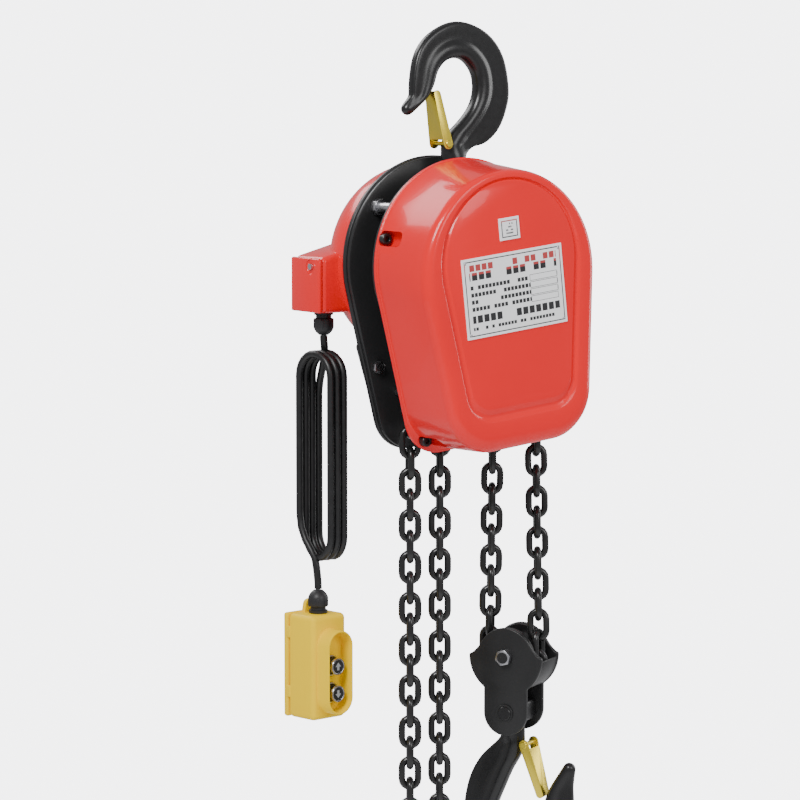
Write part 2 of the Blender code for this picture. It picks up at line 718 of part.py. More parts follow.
def build_junction(hoist_world):
    """The junction box at the motor's left side, upright as the pendant cord hangs."""
    low, high = Vector((-140.0, 60.0, -290.0)) * MM, Vector((-75.0, 120.0, -227.0)) * MM
    body = box("junction_box", low, high, "red_enamel", hoist_world, round_off=5 * MM)
    for v in body.data.vertices:
        if v.co.z > (low.z + high.z) / 2:
            v.co.z += JUNCTION_SLOPE * (v.co.x - low.x)
    saddle = turned(
        "junction_saddle",
        list(reversed(motor_profile(0.6) + [(0, 168 * MM), (0, 50 * MM), (113.6 * MM, 50 * MM)])),
        (0, 0, 0),
        "Y",
        None,
        bpy.data.objects["hoist_frame"],
        28,
        cutter=True,
        closed=True,
    )
    room_low = low + Vector((-5, 6, 7)) * MM
    room_high = Vector((-122 * MM, high.y - 6 * MM, high.z - 7 * MM))
    room = box("junction_room", room_low, room_high, None, hoist_world, cutter=True)
    cut(body, saddle, room)
    lid_low = Vector((low.x - 4.3 * MM, low.y, low.z))
    lid_high = Vector((low.x - GAP, high.y, high.z))
    box("junction_box_lid", lid_low, lid_high, "red_enamel", hoist_world, round_off=1.2 * MM, segments=1)
    x = lid_low.x - GAP
    rod("lid_screw", (0, 78 * MM, -237 * MM), "X", 4 * MM, x - 3 * MM, x, "steel", hoist_world, 6)


def gland_profile(length):
    """A cable gland: a neck, a hexagonal nut's circle and a domed mouth, from its seat outward."""
    return [
        (0, 0),
        (11, 0),
        (11, -3.5),
        (9, -4),
        (9, -7),
        (12.5, -7.5),
        (12.5, -18),
        (10, -23),
        (6.5, -length),
        (0, -length),
    ]


def build_glands(pendant):
    upper = [(r * MM, y * MM) for r, y in gland_profile(26.7)]
    seat = UPPER_GLAND - Vector((0, 0, GAP))
    turned("junction_gland", upper, seat, "Z", "black_plastic", None, 12)
    lower = [(r * MM, -y * MM) for r, y in reversed(gland_profile(26.7))]
    place = (0, -6 * MM, PENDANT.z / 2 + GAP)
    turned("pendant_gland", lower, place, "Z", "black_plastic", pendant, 12)


def build_cord():
    tube("cord_upper", [p * MM for p in CORD_UPPER], CORD_R, "cord_rubber")
    tube("cord_lower", [p * MM for p in CORD_LOWER], CORD_R, "cord_rubber")
    half, straight = HANK.y / 2, HANK.z / 2 - HANK.y / 2
    top = arc(0, straight, half, 0, math.pi, 8)
    bottom = arc(0, -straight, half, math.pi, 2 * math.pi, 8)
    mesh = prism_mesh("cord_hank", [top + bottom], -HANK.x / 2, HANK.x / 2)
    mesh.transform(Matrix.Rotation(math.pi / 2, 4, "Z"))
    hank = add("cord_hank", mesh, "cord_rubber")
    hank.location = HANK_ORIGIN


def build_pendant(pendant):
    w, d, h = PENDANT.x / 2, PENDANT.y, PENDANT.z / 2
    front = -26 * MM
    back = front + d
    body = box("pendant_housing", (-w, front, -h), (w, back, h), "yellow_plastic", pendant, round_off=5 * MM)
    half, reach = COLLAR.x / 2, COLLAR.z / 2 - COLLAR.x / 2
    face = front - COLLAR.y

    def stadium(r):
        low = arc(0, COLLAR_Z - reach, r, math.pi, 2 * math.pi, 8)
        return low + arc(0, COLLAR_Z + reach, r, 0, math.pi, 8)

    rim = [stadium(half)]
    collar = prism("pendant_collar", rim, face, front + 8 * MM, None, pendant, True)
    well = prism("pendant_well", [stadium(half - 2.6 * MM)], face - MM, front, None, pendant, True)
    wall = 3 * MM
    room = box(
        "pendant_room",
        (-w + wall, front + wall, -h + wall),
        (w - wall, back + 5 * MM, h - wall),
        None,
        pendant,
        cutter=True,
    )
    ear_loop = arc(0, h + 8 * MM, 7 * MM, 0, math.pi, 6) + [(-10 * MM, h - 6 * MM), (10 * MM, h - 6 * MM)]
    ear = prism("pendant_ear", [ear_loop], back - 10.5 * MM, back - 4.5 * MM, None, pendant, True)
    eye = rod("pendant_eye", (0, 0, h + 8 * MM), "Y", 3 * MM, 0, back + MM, None, pendant, 8, True)
    join(body, collar, ear)
    cut(body, well, room, eye)
    for way, z in BUTTON_Z.items():
        seat = rod(way + "_seat", (0, 0, z), "Y", BUTTON_R + GAP, front - MM, front + 5 * MM, None, pendant, 20, True)
        cut(body, seat)
        centre = empty(way + "_button_frame", (0, 0, z), parent=pendant)
        cap = [(0, -41), (8.6, -41), (9.6, -40), (9.6, -22.6), (11.8, -22.6), (11.8, -19.6), (0, -19.6)]
        shape = [(r * MM, y * MM) for r, y in reversed(cap)]
        turned(way + "_button", shape, (0, 0, 0), "Y", "black_plastic", centre, 20)
    box("contact_block", (-18 * MM, -7 * MM, -46 * MM), (18 * MM, 14 * MM, 20 * MM), "black_plastic", pendant)
    box(
        "pendant_rear_cover",
        (-w, back + GAP, -h),
        (w, back + 8 * MM, h),
        "yellow_plastic",
        pendant,
        round_off=2.5 * MM,
        segments=1,
    )


def block_outline():
    """A block plate: a dome over the idler, two chain-guard wings and a rounded tail."""
    tip = math.radians(2)
    shoulder = math.radians(38)
    waist_angle = -math.acos(WAIST / WING_R)
    right = arc(0, 0, WING_R, waist_angle, tip, 4)
    hollow = [(37 * MM, 8 * MM)]
    dome = arc(0, 0, DOME_R, shoulder, math.pi - shoulder, 7)
    left_tip = [(-37 * MM, 8 * MM)]
    left = arc(0, 0, WING_R, math.pi - tip, math.pi - waist_angle, 4)
    tail = arc(0, -PIN_DROP, WAIST, math.pi, 2 * math.pi, 8)
    return right + hollow + dome + left_tip + left + tail


def build_block(block):
    axle = circle(0, 0, 6.3 * MM, 12)
    pin = circle(0, -PIN_DROP, 8 * MM + GAP, 16)
    near, far = BLOCK_PLATE_Y, BLOCK_PLATE_Y + PLATE_T
    prism("block_front_plate", [block_outline(), axle, pin], -far, -near, "black_steel", block)
    prism("block_rear_plate", [block_outline(), axle, pin], near, far, "black_steel", block)
    for name, first, last in (("block_guard_left", 184, 232), ("block_guard_right", 356, 308)):
        outer = arc(0, 0, 45.6 * MM, math.radians(first), math.radians(last), 5)
        inner = arc(0, 0, 43.2 * MM, math.radians(last), math.radians(first), 5)
        prism(name, [outer + inner], -near + GAP, near - GAP, "black_steel", block)
    bolt = rod("idler_bolt", (0, 0, 0), "Y", 6 * MM, -far - 2 * MM, far + 8 * MM, "black_steel", block, 12)
    head = rod("idler_bolt_head", (0, 0, 0), "Y", 10 * MM, -far - 8 * MM, -far - GAP, None, block, 6, True)
    join(bolt, head)
    nut = rod("idler_nut", (0, 0, 0), "Y", 10 * MM, far + GAP, far + 7 * MM, "steel", block, 6)
    cut(nut, rod("idler_nut_bore", (0, 0, 0), "Y", 6.3 * MM, far - MM, far + 9 * MM, None, block, 12, True))
    idler = empty("idler_frame", parent=block)
    wheel = [(6.3, -17.5), (33, -17.5), (33, -14.6), (24.6, -14.6), (24.6, -5), (15.9, -4.6)]
    half = [(r * MM, y * MM) for r, y in wheel]
    profile = half + [(r, -y) for r, y in reversed(half)]
    turned("idler_sheave", list(reversed(profile)), (0, 0, 0), "Y", "machined", idler, 24, closed=True)


def build_bottom_hook(block):
    tilt = empty("trunnion_frame", (0, 0, -PIN_DROP), parent=block)
    bar = box(
        "hook_trunnion",
        (-19 * MM, -20.5 * MM, -12 * MM),
        (19 * MM, 20.5 * MM, 12 * MM),
        "forged_black",
        tilt,
        round_off=3 * MM,
        segments=1,
    )
    pins = rod("trunnion_pins", (0, 0, 0), "Y", 8 * MM, -30 * MM, 30 * MM, None, tilt, 16, True)
    bore = rod("trunnion_bore", (0, 0, 0), "Z", 11.4 * MM, -0.02, 0.02, None, tilt, 20, True)
    cut(join(bar, pins), bore)
    hook = empty("bottom_hook_frame", parent=block)
    shank = [(11.1, -47.5), (11.1, -80), (13.3, -83), (13.3, -97)]
    shape = hook_mesh("bottom_hook", BOTTOM_HOOK, BOTTOM_TIP, shank, -1)
    add("bottom_hook", shape, "forged_black", hook)
    top = -PIN_DROP + 12.3 * MM
    nut = rod("bottom_hook_nut", (0, 0, 0), "Z", 15 * MM, top, top + 7.5 * MM, "steel", hook, 6)
    cut(nut, rod("bottom_nut_bore", (0, 0, 0), "Z", 11.4 * MM, -0.07, -0.04, None, hook, 20, True))
    pivot = empty("bottom_latch_frame", Vector((BOTTOM_LATCH[0][0], 0, BOTTOM_LATCH[0][1])) * MM, parent=hook)
    latch("bottom_latch", *BOTTOM_LATCH, pivot)


def link_into(bm, centre, along, wide, pitch):
    """One chain link: a bar bent round a long oval, lying in the plane of along and wide."""
    bend = (LINK_WIDTH - WIRE) / 2
    run = pitch / 2 + WIRE / 2 - bend - 0.73 * MM
    normal = along.cross(wide)
    bar = WIRE / 2
    path = []
    for end in (1, -1):
        for across, ahead in ((1, 0.2), (0.66, 1), (-0.66, 1), (-1, 0.2)):
            out = Vector((across, ahead))
            middle = centre + wide * (end * bend * out.x) + along * (end * (run + bend * out.y))
            away = (wide * (end * out.x) + along * (end * out.y)).normalized()
            path.append((middle, away))
    rows = []
    for middle, away in path:
        ring = [middle + away * bar, middle + normal * bar, middle - away * bar, middle - normal * bar]
        rows.append([bm.verts.new(p) for p in ring])
    for near, far in zip(rows, rows[1:] + rows[:1]):
        for k in range(4):
            bm.faces.new((near[k], near[(k + 1) % 4], far[(k + 1) % 4], far[k]))


def eased(joints):
    """Joints whose two ends stand off a little, so that the next piece's link hangs clear."""
    first = joints[0] + (joints[0] - joints[1]).normalized() * CHAIN_EASE
    last = joints[-1] + (joints[-1] - joints[-2]).normalized() * CHAIN_EASE
    return [first] + joints[1:-1] + [last]


def chain(name, joints, rolls, first=0):
    """A length of chain through its joints. rolls turns each link about its own line."""
    joints = eased(joints)
    sides = [bmesh.new(), bmesh.new()]
    for k, (a, b) in enumerate(zip(joints, joints[1:])):
        along = (b - a).normalized()
        level = Vector((0, 1, 0)).cross(along).normalized()
        if along.z < 0:
            level = -level
        flat = Vector((0, 1, 0)) - along * along.y
        flat.normalize()
        turn = rolls[k] + (math.pi / 2 if (k + first) % 2 else 0)
        wide = level * math.cos(turn) + flat * math.sin(turn)
        link_into(sides[k % 2], (a + b) / 2, along, wide, (b - a).length)
    made = add(name, mesh_of(sides[0], name), "chain_black")
    if len(joints) > 2:
        join(made, add(name + "_odd", mesh_of(sides[1], name + "_odd"), None, cutter=True))
    return made


def blend_roll(count, start, middle, end, lead, tail):
    """A link-by-link turn that eases from start to middle, stays, and eases on to end."""
    out = []
    for k in range(count):
        near = min(1, k / lead) if lead else 1
        far = min(1, (count - 1 - k) / tail) if tail else 1
        out.append(start + (middle - start) * near + (end - middle) * (1 - far))
    return out


def spaced(a, b, count):
    return [a.lerp(b, k / count) for k in range(count + 1)]


def wrap(centre, radius, across, first, last, count):
    """Joints round a sheave whose plane holds Z and the direction across."""
    steps = [math.radians(first + (last - first) * k / count) for k in range(count + 1)]
    return [centre + across * (radius * math.cos(a)) + Vector((0, 0, radius * math.sin(a))) for a in steps]


def build_chain():
    centre = Vector((SHEAVE_X, 0, SHEAVE_Z))
    side = Vector((1, 0, 0))
    over = wrap(centre, SHEAVE_R, side, 180, 0, 5)
    chain("chain_on_sheave", over, [0] * 5, 1)
    across = Vector((math.cos(BLOCK_YAW), math.sin(BLOCK_YAW), 0))
    under = wrap(BLOCK_ORIGIN, IDLER_R, across, 180, 360, 4)
    idler_links(under)
    down = spaced(over[-1], under[0], BLOCK_LIFT_LINKS)
    chain("running_fall", down, blend_roll(BLOCK_LIFT_LINKS, 0, CHAIN_YAW, BLOCK_YAW, 6, 2))
    dead = spaced(DEAD_END, under[-1], FALL_DEAD_LINKS)
    chain("dead_fall", dead, blend_roll(FALL_DEAD_LINKS, 0, CHAIN_YAW, BLOCK_YAW, 4, 2))
    start = over[0]
    low = start - Vector((0, 0, PITCH * SLACK_DOWN_LINKS))
    span = (start.x - SLACK_X) / 2
    middle = Vector((SLACK_X + span, 0, low.z))
    bend = wrap(middle, span, side, 0, -180, 3)
    rise = [bend[-1] + Vector((0, 0, PITCH * k)) for k in range(1, SLACK_UP_LINKS + 1)]
    joints = spaced(start, low, SLACK_DOWN_LINKS) + bend[1:] + rise
    rolls = blend_roll(SLACK_DOWN_LINKS, 0, CHAIN_YAW, CHAIN_YAW, 6, 0)
    rolls += [CHAIN_YAW] * 3
    rolls += blend_roll(SLACK_UP_LINKS, CHAIN_YAW, CHAIN_YAW, 0, 0, 4)
    chain("slack_chain", joints, rolls)


def idler_links(joints):
    """The links under the idler, lying in the block's own plane and across it."""
    joints = eased(joints)
    sides = [bmesh.new(), bmesh.new()]
    normal = Vector((-math.sin(BLOCK_YAW), math.cos(BLOCK_YAW), 0))
    for k, (a, b) in enumerate(zip(joints, joints[1:])):
        along = (b - a).normalized()
        wide = normal.cross(along) if k % 2 else normal
        link_into(sides[k % 2], (a + b) / 2, along, wide, (b - a).length)
    made = add("chain_on_idler", mesh_of(sides[0], "chain_on_idler"), "chain_black")
    join(made, add("chain_on_idler_odd", mesh_of(sides[1], "chain_on_idler_odd"), None, cutter=True))


DEAD_END = Vector((113.1, -5.5, -360.0)) * MM


def main():
    hoist = empty("hoist_frame", BODY_ORIGIN, (0, -BODY_TILT, 0))
    block = empty("block_frame", BLOCK_ORIGIN, (0, 0, BLOCK_YAW))
    pendant = empty("pendant_frame", PENDANT_ORIGIN, (0, 0, PENDANT_YAW))
    sheave = body_point(SHEAVE_X, 0, SHEAVE_Z)
    pivot = body_point(0, 0, PIVOT_Z)
    dead = body_point(DEAD_END.x, 0, DEAD_END.z - 4.4 * MM)
    slack_top = SHEAVE_Z - PITCH * (SLACK_DOWN_LINKS - SLACK_UP_LINKS)
    slack = body_point(SLACK_X, 0, slack_top - 4.4 * MM)
    heading = Vector((math.cos(GEAR_ANGLE), 0, math.sin(GEAR_ANGLE)))
    second = sheave + heading * GEAR_CENTRES
    build_top_hook()
    build_crosshead()
    build_frame(hoist, sheave, pivot, dead, slack, second)
    build_cover(hoist)
    build_gears(hoist, sheave, second)
    build_motor(hoist, sheave)
    build_junction(None)
    build_glands(pendant)
    build_cord()
    build_pendant(pendant)
    build_block(block)
    build_bottom_hook(block)
    build_chain()


clear_scene()
PARTS = collection("electric_chain_hoist")
CUTTERS = collection("cutters")
main()
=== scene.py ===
"""Finished looks of the electric chain hoist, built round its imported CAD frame.

Metres, +Z up. MM turns millimetres into metres. The hoist's own pieces are shaped in the body's
frame, the block's in the block's frame and the pendant's in the pendant's frame, and each is then
set in place in its mesh.
"""

import json
import math

import bmesh
import bpy
from mathutils import Matrix, Vector


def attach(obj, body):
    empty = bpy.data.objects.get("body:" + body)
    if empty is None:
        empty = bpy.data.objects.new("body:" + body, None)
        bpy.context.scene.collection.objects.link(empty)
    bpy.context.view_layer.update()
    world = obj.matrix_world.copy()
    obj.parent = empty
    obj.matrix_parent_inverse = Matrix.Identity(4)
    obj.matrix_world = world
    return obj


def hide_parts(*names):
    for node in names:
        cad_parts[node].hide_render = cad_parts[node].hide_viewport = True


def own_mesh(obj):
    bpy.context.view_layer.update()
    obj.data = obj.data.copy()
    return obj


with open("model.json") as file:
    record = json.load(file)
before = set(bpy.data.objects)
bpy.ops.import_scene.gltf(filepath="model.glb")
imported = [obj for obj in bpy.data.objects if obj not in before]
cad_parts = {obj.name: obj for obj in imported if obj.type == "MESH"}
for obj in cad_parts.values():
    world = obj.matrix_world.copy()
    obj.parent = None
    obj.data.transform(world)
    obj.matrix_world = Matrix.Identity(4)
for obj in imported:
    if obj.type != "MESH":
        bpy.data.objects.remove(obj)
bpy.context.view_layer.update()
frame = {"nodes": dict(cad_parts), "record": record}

MM = 0.001

# Frames of the three groups of pieces
BODY_ORIGIN = Vector((-5.5, -25.0, -233.0)) * MM
BODY_TILT = math.radians(6.4)
BLOCK_ORIGIN = Vector((82.5, -8.5, -694.4)) * MM
BLOCK_YAW = math.radians(-60)
PENDANT_ORIGIN = Vector((-128.1, 95.9, -701.0)) * MM
PENDANT_YAW = math.radians(9)
WORLD = Matrix.Identity(4)
HOIST = Matrix.Translation(BODY_ORIGIN) @ Matrix.Rotation(-BODY_TILT, 4, "Y")
BLOCK = Matrix.Translation(BLOCK_ORIGIN) @ Matrix.Rotation(BLOCK_YAW, 4, "Z")
PENDANT = Matrix.Translation(PENDANT_ORIGIN) @ Matrix.Rotation(PENDANT_YAW, 4, "Z")

# Housing
HOUSING_R = 121 * MM
HOUSING_TAPER = math.radians(7.9)
HOUSING_BOTTOM = 209 * MM
HOUSING_CORNER = 44 * MM
COVER_DEPTH = 98 * MM
COVER_WALL = 3 * MM
COVER_ROUNDER = 16 * MM
JUNCTION_SLOPE = 0.26
COVER_SCREWS = [(x * MM, z * MM) for x, z in ((-105.5, 44), (-76.8, -192), (105.5, 44), (76.8, -192))]
REAR_PLATE_Y = 50 * MM
FLANGE_Y = 56.3 * MM
MOTOR_Y = 63.3 * MM

# Chain
WIRE = 8.1 * MM
LINK_WIDTH = 26.8 * MM
PITCH = 24 * MM
CHAIN_YAW = math.radians(-32)
SHEAVE = Vector((20.5, 0, -233)) * MM
SHEAVE_R = PITCH / (2 * math.sin(math.pi / 10))
IDLER_R = PITCH / (2 * math.sin(math.pi / 8))
BLOCK_LIFT_LINKS = 19
FALL_DEAD_LINKS = 14
SLACK_DOWN_LINKS = 27
SLACK_UP_LINKS = 21
SLACK_X = -59.9 * MM
DEAD_END = Vector((113.1, -5.5, -360.0)) * MM

# Camera and studio
CAMERA_PLACE = (-2.3144, -3.2735, 0.0232)
CAMERA_DOWN = math.radians(5.91)
CAMERA_YAW = math.radians(-34.39)
FOCAL_LENGTH = 157.5
AIM = (0, 0, -0.4)
LAMPS = [
    ("key", (-2.6, -1.4, 1.9), (1.3, 1.3), 118),
    ("front", (0.6, -3.4, 0.9), (2.0, 1.4), 44),
    ("right", (2.6, -0.4, 0.3), (1.0, 2.2), 26),
    ("back", (-0.6, 2.4, 1.6), (2.0, 1.0), 36),
]
FILL_STRENGTH = 0.5
BACKDROP_STRENGTH = 5.6
FLOOR_RADIUS = 3.9
FLOOR_Z = -1.9

# Cord
CORD_R = 4.4 * MM
HANK_TOP = -338.4 * MM
HANK_BOTTOM = -575.2 * MM
HANK_BEND = 26.1 * MM
HANK_X = -108.7 * MM
HANK_TURNS = 4
CORD_Y = 90 * MM
CORD_UPPER = [
    (-118.7, 90.0, -317.7),
    (-118.7, 90.0, -322.0),
    (-117.8, 90.2, -327.0),
    (-116.6, 91.5, -333.6),
    (-113.5, 97.0, -345.0),
    (-110.4, 106.0, -358.0),
    (-108.9, 113.0, -372.0),
    (-108.7, 115.9, -386.0),
]
CORD_LOWER = [
    (-135.1, 115.9, -528.0),
    (-134.8, 113.4, -542.0),
    (-133.6, 106.5, -556.0),
    (-131.6, 98.0, -567.0),
    (-129.9, 92.5, -576.0),
    (-129.2, 90.3, -586.0),
    (-128.5, 90.0, -593.0),
    (-127.7, 90.0, -600.0),
    (-127.2, 90.0, -606.0),
    (-127.1, 90.0, -611.6),
]

# Enamel, rating plate and small label
RED = (0.85, 0.008, 0.012)
PLATE_CENTRE = (0.0, -26 * MM)
PLATE_HALF = (69.5 * MM, 45 * MM)
LABEL_CENTRE = (0.0, 45 * MM)
LABEL_HALF = (14 * MM, 12.5 * MM)
PLATE_ROWS = [
    (34 * MM, 3.6 * MM, 8.5 * MM),
    (24.5 * MM, 4.4 * MM, 9.5 * MM),
    (12 * MM, 2.2 * MM, 5.0 * MM),
    (4 * MM, 2.2 * MM, 5.0 * MM),
    (-4 * MM, 2.2 * MM, 5.0 * MM),
    (-12 * MM, 2.2 * MM, 5.0 * MM),
    (-23.5 * MM, 4.2 * MM, 9.0 * MM),
    (-34 * MM, 1.8 * MM, 4.4 * MM),
]
PLATE_BOXES = [(22 * MM, 60 * MM, z * MM, (z + 7) * MM) for z in (-15.5, -7.5, 0.5, 8.5)]
LABEL_ROWS = [(z * MM, 0.9 * MM, 1.6 * MM) for z in (5.5, 2.0, -1.5, -5.0)]


# ---------------------------------------------------------------- camera, light and floor


def add_camera():
    lens = bpy.data.cameras.new("camera")
    lens.lens = FOCAL_LENGTH
    lens.sensor_width = 36
    lens.clip_end = 100
    camera = bpy.data.objects.new("camera", lens)
    camera.location = CAMERA_PLACE
    camera.rotation_euler = (math.pi / 2 - CAMERA_DOWN, 0, CAMERA_YAW)
    bpy.context.scene.collection.objects.link(camera)
    bpy.context.scene.camera = camera


def add_light(name, place, size, power):
    lamp = bpy.data.lights.new(name, "AREA")
    lamp.shape = "RECTANGLE"
    lamp.size, lamp.size_y = size
    lamp.energy = power
    holder = bpy.data.objects.new(name, lamp)
    holder.location = place
    aim = Vector(AIM) - Vector(place)
    holder.rotation_euler = aim.to_track_quat("-Z", "Y").to_euler()
    bpy.context.scene.collection.objects.link(holder)


def add_studio():
    """Four soft lamps, a backdrop that only the camera sees bright, and a pale round floor."""
    for lamp in LAMPS:
        add_light(*lamp)
    world = bpy.data.worlds.new("studio")
    world.use_nodes = True
    backdrop = world.node_tree.nodes["Background"]
    backdrop.inputs["Color"].default_value = (0.93, 0.93, 0.95, 1)
    rays = world.node_tree.nodes.new("ShaderNodeLightPath")
    strength = world.node_tree.nodes.new("ShaderNodeMapRange")
    strength.inputs["To Min"].default_value = FILL_STRENGTH
    strength.inputs["To Max"].default_value = BACKDROP_STRENGTH
    world.node_tree.links.new(rays.outputs["Is Camera Ray"], strength.inputs["Value"])
    world.node_tree.links.new(strength.outputs[0], backdrop.inputs["Strength"])
    bpy.context.scene.world = world
    bm = bmesh.new()
    bmesh.ops.create_circle(bm, cap_ends=True, radius=FLOOR_RADIUS, segments=96)
    bmesh.ops.translate(bm, verts=bm.verts, vec=(0, 0, FLOOR_Z))
    mesh = bpy.data.meshes.new("floor")
    bm.to_mesh(mesh)
    bm.free()
    floor = bpy.data.objects.new("floor", mesh)
    bpy.context.scene.collection.objects.link(floor)
    pale = bpy.data.materials.new("floor_pale")
    pale.use_nodes = True
    shader = pale.node_tree.nodes["Principled BSDF"]
    shader.inputs["Base Color"].default_value = (0.9, 0.9, 0.91, 1)
    shader.inputs["Roughness"].default_value = 0.8
    mesh.materials.append(pale)


# ---------------------------------------------------------------- materials


class Value:
    """A socket of a material's nodes. Python's operators on it add Math nodes."""

    def __init__(self, finish, socket):
        self.finish = finish
        self.socket = socket

    def math(self, operation, *values):
        return self.finish.node("ShaderNodeMath", {"operation": operation}, dict(enumerate(values)))

    def __add__(self, other):
        return self.math("ADD", self, other)

    def __sub__(self, other):
        return self.math("SUBTRACT", self, other)

    def __mul__(self, other):
        return self.math("MULTIPLY", self, other)

    def __truediv__(self, other):
        return self.math("DIVIDE", self, other)

    def __gt__(self, other):
        return self.math("GREATER_THAN", self, other)

    def __lt__(self, other):
        return self.math("LESS_THAN", self, other)

    def __rsub__(self, other):
        return self.math("SUBTRACT", other, self)

    __radd__ = __add__
    __rmul__ = __mul__


class Finish:
    """A material made of procedural nodes round one Principled BSDF."""

    def __init__(self, name, colour=None, rough=0.5, metal=0.0, **constants):
        self.material = bpy.data.materials.new(name)
        self.material.use_nodes = True
        self.tree = self.material.node_tree
        self.shader = self.tree.nodes["Principled BSDF"]
        self.feed(self.shader, "Roughness", rough)
        self.feed(self.shader, "Metallic", metal)
        if colour:
            self.feed(self.shader, "Base Color", (*colour, 1))
        for socket, value in constants.items():
            self.feed(self.shader, socket.replace("_", " "), value)

    def feed(self, node, socket, value):
        if isinstance(value, Value):
            self.tree.links.new(value.socket, node.inputs[socket])
        else:
            node.inputs[socket].default_value = value

    def node(self, kind, settings=None, values=None, out=0):
        made = self.tree.nodes.new(kind)
        for name, value in (settings or {}).items():
            setattr(made, name, value)
        for name, value in (values or {}).items():
            self.feed(made, name, value)
        return Value(self, made.outputs[out])

    def set(self, socket, value):
        self.feed(self.shader, socket, value)

    def place(self):
        return self.node("ShaderNodeTexCoord", out="Object")

    def noise(self, scale, detail=2.0, roughness=0.5, place=None):
        values = {"Vector": place or self.place(), "Scale": scale, "Detail": detail, "Roughness": roughness}
        return self.node("ShaderNodeTexNoise", None, values)

    def mix(self, factor, low, high):
        """Two colours mixed by a factor from 0 to 1."""
        colours = [c if isinstance(c, Value) else (*c, 1) for c in (low, high)]
        values = {0: factor, 6: colours[0], 7: colours[1]}
        return self.node("ShaderNodeMix", {"data_type": "RGBA"}, values, 2)

    def ramp(self, value, low, high):
        """0 below low, 1 above high and straight between them."""
        settings = {"clamp": True}
        values = {"Value": value, "From Min": low, "From Max": high}
        return self.node("ShaderNodeMapRange", settings, values)

    def bump(self, height, strength, distance):
        values = {"Height": height, "Strength": strength, "Distance": distance}
        self.set("Normal", self.node("ShaderNodeBump", None, values))


def scaled(colour, share):
    return tuple(min(1, c * share) for c in colour)


def enamel(name, colour):
    """Glossy stoved enamel: a faint orange peel, slow drifts of tone and small dust specks."""
    made = Finish(name, Coat_Weight=0.3, Coat_Roughness=0.04, Specular_IOR_Level=0.25)
    drift = made.noise(9, 3)
    peel = made.noise(420, 2)
    specks = made.ramp(made.noise(1500, 1), 0.74, 0.8)
    tone = made.mix(drift, scaled(colour, 0.93), scaled(colour, 1.07))
    made.set("Base Color", made.mix(specks * 0.35, tone, scaled(colour, 0.6)))
    made.set("Roughness", 0.2 + drift * 0.08 + specks * 0.2)
    made.bump(peel, 0.05, 0.15 * MM)
    return made.material


def black_paint(name):
    """Satin black paint over plate, thin enough for grain to show."""
    made = Finish(name, Specular_IOR_Level=0.36)
    drift = made.noise(25, 4)
    grain = made.noise(900, 3, 0.65)
    made.set("Base Color", made.mix(grain * 0.6 + drift * 0.4, (0.007, 0.007, 0.007), (0.026, 0.026, 0.027)))
    made.set("Roughness", 0.24 + drift * 0.18)
    made.bump(grain, 0.12, 0.2 * MM)
    return made.material


def forged(name):
    """Forged and blackened steel: a soft pitted skin."""
    made = Finish(name, Specular_IOR_Level=0.5)
    pits = made.noise(170, 5, 0.6)
    drift = made.noise(18, 3)
    made.set("Base Color", made.mix(pits * 0.5 + drift * 0.5, (0.003, 0.003, 0.003), (0.013, 0.013, 0.014)))
    made.set("Roughness", 0.22 + pits * 0.14)
    made.bump(pits, 0.14, 0.4 * MM)
    return made.material


def chain_steel(name):
    """Blackened chain: oily, with dull and bright patches from link to link."""
    made = Finish(name, metal=0.3, Specular_IOR_Level=0.6)
    patch = made.noise(60, 3)
    grain = made.noise(700, 3)
    made.set("Base Color", made.mix(patch, (0.008, 0.008, 0.008), (0.03, 0.03, 0.03)))
    made.set("Roughness", 0.14 + patch * 0.12 + grain * 0.06)
    made.bump(grain, 0.05, 0.2 * MM)
    return made.material


def bright_metal(name, colour, rough, scale=300):
    """Plated or machined metal with fine scratches and a slightly uneven tone."""
    made = Finish(name, metal=1.0)
    drift = made.noise(40, 3)
    scratch = made.noise(scale, 4, 0.7)
    made.set("Base Color", made.mix(drift * 0.6 + scratch * 0.4, scaled(colour, 0.8), scaled(colour, 1.12)))
    made.set("Roughness", rough + scratch * 0.16)
    made.bump(scratch, 0.08, 0.1 * MM)
    return made.material


def plastic(name, colour, rough, grain_depth, drift_share=0.06, shine=0.4):
    """Moulded plastic: a fine spark-eroded grain under a soft sheen."""
    made = Finish(name, Specular_IOR_Level=shine)
    drift = made.noise(30, 3)
    grain = made.noise(1300, 2)
    made.set("Base Color", made.mix(drift, scaled(colour, 1 - drift_share), scaled(colour, 1 + drift_share)))
    made.set("Roughness", rough + grain * 0.12 + drift * 0.05)
    made.bump(grain, grain_depth, 0.1 * MM)
    return made.material


def plate_place(made, centre):
    """Coordinates on the cover's front, in metres from a point of the body's frame."""
    at = HOIST @ Vector((centre[0], 0, centre[1]))
    settings = {"vector_type": "TEXTURE"}
    values = {"Vector": made.place(), "Location": at, "Rotation": (0, -BODY_TILT, 0)}
    turned_place = made.node("ShaderNodeMapping", settings, values)
    split = made.node("ShaderNodeSeparateXYZ", None, {0: turned_place})
    node = split.socket.node
    return Value(made, node.outputs["X"]), Value(made, node.outputs["Z"])


def inside(value, low, high):
    """1 where a value lies between two limits."""
    return (value > low) * (value < high)


def printed_rows(made, x, z, rows, width, ragged):
    """Rows of small dark marks that stand for printing: (height, half height, mark length)."""
    ink = None
    for k, (height, half, mark) in enumerate(rows):
        cell = (x / mark).math("FLOOR", x / mark)
        shade = made.node("ShaderNodeTexWhiteNoise", {"noise_dimensions": "1D"}, {"W": cell + 17.3 * k})
        part = made.node("ShaderNodeMath", {"operation": "FRACT"}, {0: x / mark})
        marks = (shade > ragged) * (part < 0.78)
        row = marks * inside(z, height - half, height + half) * inside(x, -width, width)
        ink = row if ink is None else ink + row
    return ink


